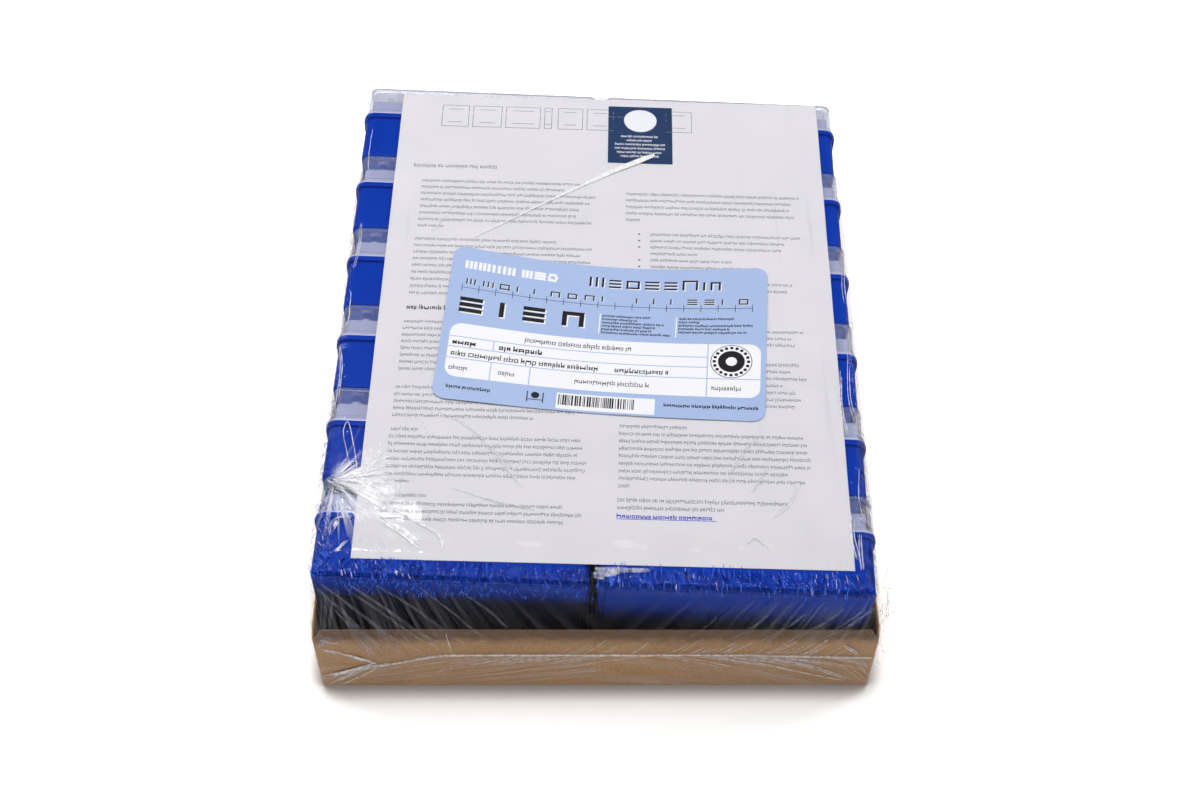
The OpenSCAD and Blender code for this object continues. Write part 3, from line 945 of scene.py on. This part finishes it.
def label_small_print(ink):
    """Two greeked addresses beside light rules, two notes and a block of plain bars."""
    for x, y0, ends in ((-4.2, 2.4, (21, 15, 27, 24, 21, 30)), (32.0, 2.0, (61, 44, 70, 58, 67))):
        ink.add(x, y0, x + 0.5, 14.6, "white")
        for k, end in enumerate(ends):
            ink.greek(x + 1.3, end, 12.9 - 2.1 * k, 1.1, "black", 0.24)
    for x0, x1 in ((-71.5, -50), (28.5, 72)):
        ink.greek(x0, x1, -39.6, 1.5, "black", 0.24)
    for x in (-34.2, -26.9):
        ink.add(x, -42.5, x + 0.5, -36.5, "black")
    ink.add(-34.2, -41.2, -26.4, -40.8, "black")
    ink.add(-32.2, -40.2, -28.4, -36.6, "black", 1.8)
    ink.add(-20.5, -44.8, 24.5, -35.6, "white")
    x = -19.6
    while x < 15.0:
        wide = ink.rng.choice((0.3, 0.3, 0.55, 0.8))
        ink.add(x, -42.6, x + wide, -36.6, "black", layer=1)
        x += wide + ink.rng.choice((0.28, 0.28, 0.5, 0.75))


def build_label(mats):
    """The label: one leaf with round corners, and its print in a layer of its own."""
    leaf = Plates(label_point, thick=LABEL_T)
    leaf.add(-LABEL_W / 2, -LABEL_L / 2, LABEL_W / 2, LABEL_L / 2, "label", LABEL_R, cell=3.0)
    ride(leaf.build("label_leaf", mats), "label_paper", "label")
    ink = Plates(lambda u, v, h: label_point(u + 1.2, v + 0.45, h), LABEL_T, seed=11)
    for draw in (label_title, label_ruler, label_panel, label_small_print):
        draw(ink)
    return ride(ink.build("label_print", mats), "label_paper")


# ---------------------------------------------------------------- film

def top_corners():
    """Corners of the racks' top outline in the row frame, front left first, anticlockwise."""
    ends = []
    for row in (ROWS[0], ROWS[-1]):
        left, right = node_box(f"base_left_{row}", TURN)[0], node_box(f"base_right_{row}", TURN)[1]
        y = left.y if row == ROWS[0] else node_box(f"lid_left_{row}", TURN)[1].y
        ends += [STACK @ Vector((x, y, 0)) for x in (left.x, right.x)]
    return [ends[0], ends[1], ends[3], ends[2]]


def quad_ring(corners, radius):
    """Points round a four-cornered outline with rounded corners, as many on each side."""
    out = []
    for i, here in enumerate(corners):
        before, after = corners[i - 1], corners[(i + 1) % 4]
        a, b = (here + (p - here).normalized() * radius for p in (before, after))
        c = after + (here - after).normalized() * radius
        out += bend(a, here, b, PER_CORNER)
        out += [b.lerp(c, k / (PER_SIDE + 1)) for k in range(1, PER_SIDE + 1)]
    return out


def inset(corners, d):
    """The outline moved inwards by d on every side."""
    out = []
    for i, here in enumerate(corners):
        ways = [(corners[k % 4] - here).normalized() for k in (i - 1, i + 1)]
        out.append(here + (ways[0] + ways[1]) * d)
    return out


def tray_corners(grow):
    x0, x1 = TRAY_LO.x - grow, TRAY_HI.x + grow
    y0, y1 = TRAY_LO.y - grow, TRAY_HI.y + grow
    return [Vector((x, y, 0)) for x, y in ((x0, y0), (x1, y0), (x1, y1), (x0, y1))]


def film_levels():
    """(kind, place) of each ring of the film, from the top's middle to the middle of the bottom. The place
    is a distance from the edge on the top and underneath, and a share of the height between them."""
    levels = [("top", 118 - 4 * k) for k in range(26)]
    levels += [("top", d) for d in (15.5, 13.5, 12, 10.5, 9, 7.7, 6.6, 5.6, 4.6, 3.7, 2.9, 2.1, 1.4, 0.8,
                                    0.35, 0.05)]
    levels += [(kind, k / 16) for kind in ("tent", "wall") for k in range(1, 17)]
    return levels + [("foot", d) for d in (0.1, -0.8, -3.0, -30.0)]


def edge_drop(off, sideways):
    """How far the film rounds down at a distance from the edge: tightly at the ends, more at the sides."""
    r = between(1.6, 6.2, sideways)
    return r - sqrt(max(r * r - (r - off) ** 2, 0.0)) if off < r else 0.0


def seam_height(x):
    """Height of the welded seam round the tray's front. It drops to a gathered fold at the left."""
    return 33.8 - 10.0 * smoothstep(-66.0, -102.0, x) - 2.5 * smoothstep(60.0, 125.0, x)


def film_ripple(kind, off, p, along):
    """How far the film stands out from its tight form."""
    if kind == "top":
        edge = (1 - smoothstep(3.0, 14.0, off)) * smoothstep(40.0, -60.0, p.y)
        fine, finer = rough(along * 0.33, off * 0.10, 5.0), rough(along * 0.75, off * 0.16, 9.0)
        return edge * (0.30 + 0.50 * fine + 0.24 * finer)
    slant = rough(along * 0.16 + p.z * 0.09, p.z * 0.02, 2.0)
    upright = rough(along * 0.30, p.z * 0.05, 7.0)
    if kind == "tent":
        bulge = 0.0 if abs(p.x) < 110.0 else rough(along * 0.05, 1.0, 4.0)
        return (0.40 * slant + 0.20 * upright + 1.1 * bulge) * smoothstep(0.0, 0.25, off)
    return (0.20 + 0.22 * slant + 0.10 * upright) * smoothstep(0.0, 6.0, p.z)


def fan_at(p, side):
    """Coordinates in which the drawn streaks run straight: angles about points outside the pack's corners."""
    s, reach = (p.y, TRAY_HI.y) if side else (p.x, TRAY_HI.x)
    left = s < 0.0
    if p.z > seam_height(s):
        end, z0, fine = reach + 25.0, RACK_TOP + 150.0, 115.0
    else:
        end, z0, fine = (reach + 100.0, -30.0, 90.0) if left else (reach + 10.0, -12.0, 42.0)
    away = abs(s + end if left else s - end)
    return (atan2(p.z - z0, away) * fine, hypot(p.z - z0, away) * 0.012, z0)


def top_fields(off, q, side):
    """The fields of the film's top, at a point on the stack's axes: fine puckers near its edges, slack along
    the long sides, rays out of the knot on the left side, and the patch that runs from it, where white haze
    paints glare."""
    near_front = smoothstep(-20.0, -120.0, q.y)
    wide, least = (5.0 + 5.0 * near_front, 0.35) if side else (12.0, 0.1)
    knot = Vector((-113.0, -100.0))
    away = q.xy - knot
    toward = (away.x * 0.88 - away.y * 0.47) / max(away.length, 0.1)
    x, y, run = q.x + 107.0, q.y + 97.0, (15.0, -9.0)
    t = clamp((x * run[0] + y * run[1]) / (run[0] ** 2 + run[1] ** 2))
    return {
        "burst": (atan2(away.y, away.x) * 9.0, away.length * 0.03, 1.0),
        "pucker": (1 - smoothstep(wide * 0.45, wide, off)) * (least + (1 - least) * near_front),
        "slack": smoothstep(58.0, 96.0, abs(q.x)) * (1 - smoothstep(100.0, 140.0, -q.y)),
        "rays": (1 - smoothstep(8.0, 38.0, away.length)) * smoothstep(-0.6, 0.75, toward),
        "patch": 1 - smoothstep(2.0, 9.0, hypot(x - run[0] * t, y - run[1] * t)),
    }


def film_fields(kind, off, p, side, along):
    """What the film's material reads at a point: its puckers, drawn streaks, slack, rays and the patch of
    painted glare.
    """
    down = FILM_TOP - p.z
    fields = top_fields(off, STACK.inverted() @ p, side)
    if kind == "top":
        return {"wrap": (along, -off, 0.0), "fan": fan_at(p, side), "drawn": 0.0, **fields}
    tent = p.z > seam_height(p.x)
    return {
        "wrap": (along, down, 0.0), "fan": fan_at(p, side), "burst": fields["burst"],
        "pucker": (1 - smoothstep(2.0, 9.0, down)) * (0.5 if side else 1.0),
        "drawn": smoothstep(3.0, 14.0, down) * (0.35 + 0.65 * smoothstep(30.0, 105.0, abs(p.x)) if tent
                                                else 2.2),
        "slack": 0.0, "rays": 0.0, "patch": 0.0,
    }


def film_ring(kind, place, tops):
    """Where a ring of the film runs, seen from above, before its height is known."""
    if kind == "top":
        return quad_ring(inset(tops, place), max(5.5 - place * 0.3, 0.6))
    if kind != "tent":
        return quad_ring(tray_corners(0.3 if kind == "wall" else place), 1.6)
    lower = [lean(p + UP * SIDE_H) for p in quad_ring(tray_corners(0.35), 1.6)]
    sag = 0.5 * sin(pi * place)
    return [a.lerp(Vector((b.x, b.y, 0)), place) - (a + b).normalized() * sag
            for a, b in zip(quad_ring(tops, 5.5), lower)]


def build_film(material):
    """The shrink film: one closed skin over the racks and round the tray."""
    tops, levels = top_corners(), film_levels()
    sides = 4 * (PER_SIDE + PER_CORNER + 1)
    verts, fields, edge_z = [], [], [0.0] * sides
    for kind, place in levels:
        ring = film_ring(kind, place, tops)
        for i, p in enumerate(ring):
            before, after = ring[i - 1], ring[(i + 1) % sides]
            out = Vector((after.y - before.y, before.x - after.x, 0)).normalized()
            along = GIRTH * i / sides
            tray_top = SIDE_H + (TRAY_HI.z - SIDE_H) * smoothstep(0.6, 0.95, abs(out.y)) + 0.3
            if kind == "top":
                edge_z[i] = film_height(p.x, p.y) - edge_drop(place, smoothstep(0.5, 0.95, abs(out.x)))
            z = {"top": edge_z[i], "tent": edge_z[i] - 0.5 + (tray_top - edge_z[i] + 0.5) * place,
                 "wall": tray_top + (TRAY_LO.z + 1.2 - tray_top) * place,
                 "foot": max(0.9 * place + 0.95, 0.03)}[kind]
            q = Vector((p.x, p.y, z))
            if kind in ("wall", "foot"):
                q = lean(q)
            q += (UP if kind == "top" else out) * film_ripple(kind, place, q, along)
            q.z = max(q.z, 0.02)
            verts.append(q)
            fields.append(film_fields(kind, place, q, abs(out.y) < 0.7, along))
    ob = make("film_wrap", verts, tube(0, len(levels), sides), [material], sharp=75.0)
    outward(ob.data)
    for name in fields[0]:
        paint(ob, name, [f[name] for f in fields])
    return ride(ob, "film", "shrink_film")


def front_point(x, z, out=0.7):
    """A point outside the film on the tray's front."""
    p = lean(Vector((x, TRAY_LO.y, z)))
    return Vector((p.x, p.y - 0.3 - out, z))


def tent_point(x, z, out=0.7):
    """A point outside the film where it hangs from the racks' front edge to the tray's."""
    t = (RACK_TOP - z) / (RACK_TOP - TRAY_HI.z)
    edge = (FRONT_Y + x * sin(TURN)) / cos(TURN)
    return Vector((x, edge * (1 - t) + TRAY_LO.y * t - 0.3 - out, z))


def top_point(x, y):
    """A point on the film's top, given on the stack's own axes."""
    p = STACK @ Vector((x, y, 0))
    return Vector((p.x, p.y, film_height(p.x, p.y) + 0.15))


def build_seams(mats):
    """The welded seam across the tray's front and the folds gathered at its ends."""
    s = Strands(3)
    left, right = TRAY_LO.x, TRAY_HI.x
    xs = [left + 25 + (right - left - 27) * k / 60 for k in range(61)]
    line = [front_point(x, seam_height(x) + 0.3 * rough(x * 0.08, 0, 0), 0.8) for x in xs]
    s.ribbon(line, FRONT, 0.6, 0.9, False)
    s.folds(
        lambda x, z: front_point(left + x, z), FRONT, 0.5,
        (1.0, 3, 0.9, (27, 25.5), (15, 18.5), (3, 12.5)), (0.5, 2, 1.2, (26, 24.5), (14, 14.5), (4, 4.5)),
        (0.9, 2, 0.9, (11, 36.5), (19, 31.0), (27, 26.0)), (0.5, 2, 1.0, (2, 39.0), (8, 37.5), (13, 34.5)),
        (0.4, 1, 0, (32, 27.0), (20, 14.0), (7, 3.0)), (0.4, 2, 1.5, (214, 29.5), (232, 18.0), (245, 9.0)),
        (0.35, 1, 0, (192, 31.0), (216, 19.0), (244, 7.0)),
        (0.6, 2, 1.1, (236, 44.0), (243, 38.0), (247, 30.0)), (0.3, 1, 0, (60, 54.0), (61, 44.0), (62, 34.0)))
    s.look = "fold"
    s.folds(
        front_point, FRONT, 0.5,
        (0.5, 3, 1.0, (-105, 53), (-102.5, 40), (-100, 28)), (0.3, 1, 0, (-97, 49), (-92, 40), (-86, 34)),
        (0.5, 3, 1.2, (-118, 52), (-122, 46), (-124, 38)), (0.4, 2, 1.0, (-124, 50), (-119, 46), (-112, 45)))
    return s.build("film_seams", mats)


def build_drapes(mats):
    """Soft folds where the film hangs from the racks to the tray, fine strands on the tray's front, and the
    broad fold across the sheet."""
    s = Strands(21)
    rng = s.rng
    s.look = "veil"
    s.folds(
        lambda x, z: tent_point(x, z) if z > TRAY_HI.z else front_point(x, z), FRONT, 0.3,
        (2.55, 2, 2.34, (-124, 80.5), (-112, 66), (-104, 53), (-96, 40), (-90, 30)),
        (2.85, 1, 0, (-119, 80.5), (-104, 66), (-92, 52), (-84, 42), (-76, 33)),
        (2.4, 2, 3.38, (-109, 80.5), (-92, 66), (-80, 54), (-70, 43)),
        (2.4, 1, 0, (-95, 80.5), (-78, 67), (-66, 54), (-58, 44)),
        (1.95, 1, 0, (-78, 81), (-64, 67), (-53, 55), (-46, 47)),
        (1.65, 1, 0, (-60, 79), (-48, 68), (-40, 57)),
        (1.5, 2, 1.69, (-121, 80.5), (-119.1, 73), (-120, 62), (-121.5, 55)),
        (1.35, 1, 0, (-114.5, 78), (-116, 66), (-119, 55)),
        (2.25, 2, 2.86, (119, 80), (112, 70), (104, 58), (97, 48)),
        (1.5, 1, 0, (118, 78), (110, 64), (101, 50), (95, 42)),
        (1.95, 1, 0, (104, 74), (96, 62), (88, 50), (82, 41)), (1.65, 1, 0, (88, 70), (80, 58), (72, 46)),
        (1.5, 1, 0, (72, 68), (64, 57), (57, 47)), (1.35, 1, 0, (50, 66), (44, 57), (38, 48)))
    s.look = "crease"
    for k in range(104):
        below = k < 66
        x = rng.uniform(TRAY_LO.x + 22, TRAY_HI.x - 14) if below else rng.uniform(-25, 108)
        run = rng.uniform(14, 38) if below else rng.uniform(5, 11)
        rise = run * (rng.uniform(-0.42, -0.25) if below else rng.uniform(0.9, 1.5))
        side = -1 if below and x < 25 else 1
        z = seam_height(x) + (-1.5 if below else 1.5)
        points = [front_point(clamp(x + side * run * t, TRAY_LO.x + 4, TRAY_HI.x - 4),
                              clamp(z + rise * t ** 1.2, 2.0, 53.5)) for t in (0, 0.5, 1)]
        s.gather(points, rng.uniform(0.10, 0.24), 1, 0, FRONT, 0.15)
    s.look = "band"
    broad = [Vector(p) for p in ((-62, 43), (-30, 66), (-10, 80), (6, 91), (26, 103))]
    for start, width in enumerate((0.9, 1.6, 2.6, 3.2)):
        s.ribbon([top_point(*p) for p in curve_points(broad[start:], 8)], UP, width, 0.3)
    return s.build("film_drapes", mats)


def build_creases(mats):
    """Long folds drawn tight over the sheet and the racks, and the short ones crowded at their edges, whose
    haze paints glints.
    """
    s = Strands(9)
    rng = s.rng
    s.folds(
        top_point, UP, 0.35,
        (0.5, 2, 0.7, (-83, 44), (-74, 63)), (0.4, 2, 0.8, (-71, -61), (-53, -72), (-30, -101)),
        (0.35, 1, 0, (-53, -71), (-27, -99)), (0.4, 2, 0.7, (-62, -102), (-42, -108), (-24, -112)),
        (0.6, 1, 0, (-78, -66), (-74, -74)),
        (0.6, 2, 0.7, (-105, -97), (-97, -102), (-87, -113), (-75, -120), (-66, -125), (-63, -130),
         (-64, -134)),
        (1.2, 4, 1.1, (-105, -98), (-97, -103), (-90, -108)),
        (1.2, 4, 0.8, (-90, -119), (-84, -123), (-79, -126), (-72, -132)),
        (1.3, 2, 1.0, (-84, -123), (-76, -129)),
        (0.8, 3, 0.8, (-94, -79), (-95, -85), (-98, -92), (-101, -97)),
        (0.35, 2, 0.7, (-111, -129), (-112, -124), (-110, -120), (-106, -119)),
        (0.8, 2, 0.8, (-110.5, -125), (-109, -121)), (0.6, 2, 0.8, (-109, -136), (-107, -134), (-104, -130)),
        (0.35, 1, 0, (-111, -79), (-107, -92), (-104, -94), (-105, -88), (-110, -70), (-112, -73),
         (-111, -80)),
        (0.45, 2, 0.9, (59, -95), (68, -77), (74, -70)), (0.4, 2, 0.8, (70, -100), (80, -81)),
        (0.4, 2, 0.8, (67, -125), (72, -122), (78, -127)), (0.35, 2, 1.3, (78, -112), (87, -104), (92, -91)),
        (0.35, 1, 0, (-119, 113), (-119, 97), (-118, 84)), (0.3, 2, 0.8, (-118, 52), (-117, 36), (-118, 20)),
        (0.4, 1, 0, (-118, 6), (-117, -8), (-118, -16)),
        (0.35, 2, 0.8, (-120, -24), (-117, -40), (-117, -62)),
        (0.3, 1, 0, (119, 100), (120, 84), (119, 66)), (0.3, 2, 1.2, (119, 38), (118, 20), (119, 4)),
        (0.3, 2, 1.0, (118, -20), (117, -44), (119, -60)), (0.3, 1, 0, (119, -84), (118, -98), (119, -110)),
        (0.4, 2, 0.8, (114, -30), (113, -50), (115, -66)),
        (0.5, 2, 1.4, (115, -108), (114, -118), (116, -130)),
        (0.5, 2, 1.1, (118, -112), (117, -126), (118, -142)))
    # Painted glints: the short crowded strands are real crinkles, but their white haze (crease) and blue haze
    # (pucker) paint the glints and light on them.
    # look, how many, the area as x0, x1, y0, y1, half the longest one, its slant, the slant's spread, width
    for look, count, x0, x1, y0, y1, reach, slant, spread, width in (
            ("crease", 16, 4, 110, -147, -138, 2.6, 92, 12, 0.22),
            ("crease", 12, -106, -74, -148, -140, 2.0, 112, 12, 0.25),
            ("crease", 15, -102, -85, -136, -129, 2.2, 105, 12, 0.3),
            ("crease", 26, -114, -100, -106, -96, 4.0, 165, 20, 0.35),
            ("crease", 10, 100, 116, -140, -130, 2.5, 100, 8, 0.25),
            ("crease", 6, -117, -112, -146, -116, 1.6, 125, 25, 0.3),
            ("pucker", 150, 3, 112, -149, -137.5, 3.2, 92, 12, 0.34),
            ("pucker", 46, -108, -70, -148.5, -138.5, 2.6, 112, 12, 0.4),
            ("pucker", 40, -74, -4, -148, -139, 2.4, 108, 14, 0.3),
            ("pucker", 60, -117.5, -111, -149, -112, 2.2, 125, 30, 0.42)):
        s.look = look
        for _ in range(count):
            x, y = rng.uniform(x0, x1), rng.uniform(y0, y1)
            a = radians(slant + rng.uniform(-spread, spread))
            r = reach * rng.uniform(0.3, 1.0)
            c, d, side = r * cos(a), r * sin(a), rng.uniform(-0.2, 0.2)
            keys = [top_point(u, max(v, -151.0)) for u, v in
                    ((x - c, y - d), (x - side * d, y + side * c), (x + c, y + d))]
            s.ribbon(curve_points(keys, 3), UP, width * rng.uniform(0.5, 1.3), 0.25)
    # Short crinkles hanging over the racks' front edge, in the pucker look: their blue haze paints light on
    # them.
    for _ in range(230):
        x, z = rng.uniform(-114, -4), RACK_TOP - 0.8 - rng.uniform(0.0, 1.0) ** 1.6 * 8.0
        slant, r = radians(rng.uniform(60, 125)), rng.uniform(0.7, 1.9)
        run = r * cos(slant)
        keys = [tent_point(x - run, z, 0.2), tent_point(x + run, z - r * 1.4, 0.2)]
        s.ribbon(curve_points(keys, 3), FRONT, rng.uniform(0.25, 0.6), 0.25)
    # Painted glare: broad lavender strands right of the gap between the front racks paint the sheen on film
    # lifted there.
    s.look = "fold"
    s.folds(top_point, UP, 0.3, (1.8, 2, 0.6, (-1, -139), (8, -139.5), (18, -139.5), (28, -139)),
            (2.0, 2, 0.6, (1, -141), (8, -141.6), (14, -141)), (1.6, 2, 0.6, (2, -143.2), (7, -143.8)))
    return s.build("film_creases", mats)


def side_wisp(rng, sx, y0, length):
    """Points of a strand that strays along one side of the pack."""
    base_z, seed = rng.uniform(34.0, 58.0), rng.uniform(0, 99)
    reach, steps, points = rng.uniform(0.5, 2.2), int(length / 1.6), []
    for i in range(steps):
        y = y0 + length * i / steps
        if y > 148.0:
            break
        wave, kink = rough(y * 0.13, seed, 0), rough(y * 0.45, seed, 9)
        z = base_z + 7.0 * wave + 2.0 * kink
        edge = lean(Vector((sx * 127.1, y, min(z, SIDE_H))))
        points.append(Vector((edge.x + sx * (0.5 + reach * abs(wave * 1.6 + kink)), y, z)))
    return points


def build_wisps(mats):
    """Frayed strands of trimmed film down both sides of the pack, thickest near the front right."""
    s = Strands(5)
    rng = s.rng
    s.look = "wisp"
    for sx in (-1, 1):
        for k in range(13):
            y0, length = (rng.uniform(-152.0, 90.0), rng.uniform(30.0, 110.0)) if k > 2 else (-150.0, 285.0)
            points = side_wisp(rng, sx, y0, length)
            s.ribbon(points, Vector((sx, 0, 0)), rng.uniform(0.25, 0.5), 0.3)
    for k in range(38):
        knot = k < 12
        near_x, far_y, z0, z1 = (124.2, 9.0, 54.0, 66.0) if knot else (126.2, 24.0, 12.0, 62.0)
        x, y, z = near_x + rng.uniform(0, 2.0), -153.0 + rng.uniform(0, far_y), rng.uniform(z0, z1)
        keys, course = [Vector((x, y, z))], rng.uniform(0, 2 * pi)
        for _ in range(rng.randint(4, 7)):
            course += rng.uniform(-0.8, 0.8)
            step = rng.uniform(2.5, 5.5)
            p = keys[-1] + Vector((rng.uniform(-1.0, 1.2), step * cos(course) * 0.6,
                                   step * sin(course)))
            keys.append(Vector((clamp(p.x, x - 0.8, 129.8), max(p.y, -156.0), clamp(p.z, 3.0, 78.0))))
        s.ribbon(curve_points(keys, 5), Vector((0.7, -0.7, 0)), rng.uniform(0.15, 0.3), 0.2)
    return s.build("film_wisps", mats)


# ---------------------------------------------------------------- stage

def build_floor():
    """A pale floor, white to the camera, with a painted contact shadow close under the pack."""
    t = Tree("floor")
    seen = t.node("LightPath").outputs["Is Camera Ray"]
    # Painted shadow: ambient occlusion darkens the floor's colour to a warm brown close under the pack.
    near = t.node("AmbientOcclusion", {"samples": 8}, Distance=0.012).outputs["AO"]
    shown = t.mix(t.span(near, 0.5, 0.97), (0.29, 0.20, 0.15), (1.6, 1.6, 1.6))
    plain = t.first("BsdfDiffuse", Color=t.mix(seen, (0.82, 0.82, 0.82), shown))
    glow = t.first("Emission", Color=(1.0, 1.0, 1.0), Strength=1.0)
    size, z = 6000.0, -0.1
    corners = [(-size, -size, z), (size, -size, z), (size, size, z), (-size, size, z)]
    make("floor", corners, [(0, 1, 2, 3)], [t.finish(t.mix_shader(t.mul(seen, 0.15), plain, glow))])


def build_world():
    """An even pale surround, white to the camera."""
    t = Tree("world", world=True)
    plain = t.first("Background", Color=(0.98, 0.99, 1.0), Strength=0.24)
    white = t.first("Background", Color=(1.0, 1.0, 1.0), Strength=1.0)
    seen = t.node("LightPath").outputs["Is Camera Ray"]
    bpy.context.scene.world = t.finish(t.mix_shader(seen, plain, white))


def heading(azimuth, elevation):
    """A direction from its angles in degrees. Azimuth 0 is straight back, and grows to the right."""
    az, el = radians(azimuth), radians(elevation)
    return Vector((sin(az) * cos(el), cos(az) * cos(el), sin(el)))


def area_lamp(name, azimuth, elevation, distance, size, power):
    """A square soft lamp that stands in a direction from the pack's top, and looks at it."""
    way = heading(azimuth, elevation)
    light = bpy.data.lights.new(name, "AREA")
    light.shape, light.size, light.energy = "SQUARE", size, power
    ob = show(name, light)
    ob.location = UP * RACK_TOP * MM + way * distance
    ob.rotation_euler = way.to_track_quat("Z", "Y").to_euler()


def build_lamps():
    area_lamp("lamp_top", -90, 85, 1.3, 0.6, 7.4)
    area_lamp("lamp_left", -62, 42, 1.3, 0.5, 4.3)
    area_lamp("lamp_right", 62, 40, 1.3, 0.5, 5.0)
    area_lamp("lamp_front", 180, 26, 1.5, 0.7, 2.5)
    area_lamp("lamp_glare", -27.5, 63.0, 1.043, 0.08, 1.0)


def build_camera():
    """The camera stands in front of the pack and looks down on it, rolled a little."""
    data = bpy.data.cameras.new("camera")
    data.lens, data.sensor_width = 49.56, 36.0
    data.clip_start, data.clip_end = 0.05, 20.0
    ahead, right, roll = heading(3.0, -54.67), heading(93.0, 0.0), radians(2.69)
    up = right.cross(ahead)
    right, up = (cos(roll) * right + sin(roll) * up,
                 cos(roll) * up - sin(roll) * right)
    turn = Matrix((right, up, -ahead)).transposed().to_4x4()
    ob = show("camera", data)
    ob.matrix_world = Matrix.Translation(Vector((-22.5, -487.5, 701.2)) * MM) @ turn
    bpy.context.scene.camera = ob


# ---------------------------------------------------------------- build

mats = all_materials()
build_camera()
build_world()
build_floor()
build_lamps()
build_racks(mats)
build_tray(mats["kraft"])
build_certificate(mats)
build_label(mats)
build_film(mats["film"])
build_seams(mats)
build_drapes(mats)
build_creases(mats)
build_wisps(mats)
bpy.context.scene.view_settings.view_transform = "Standard"
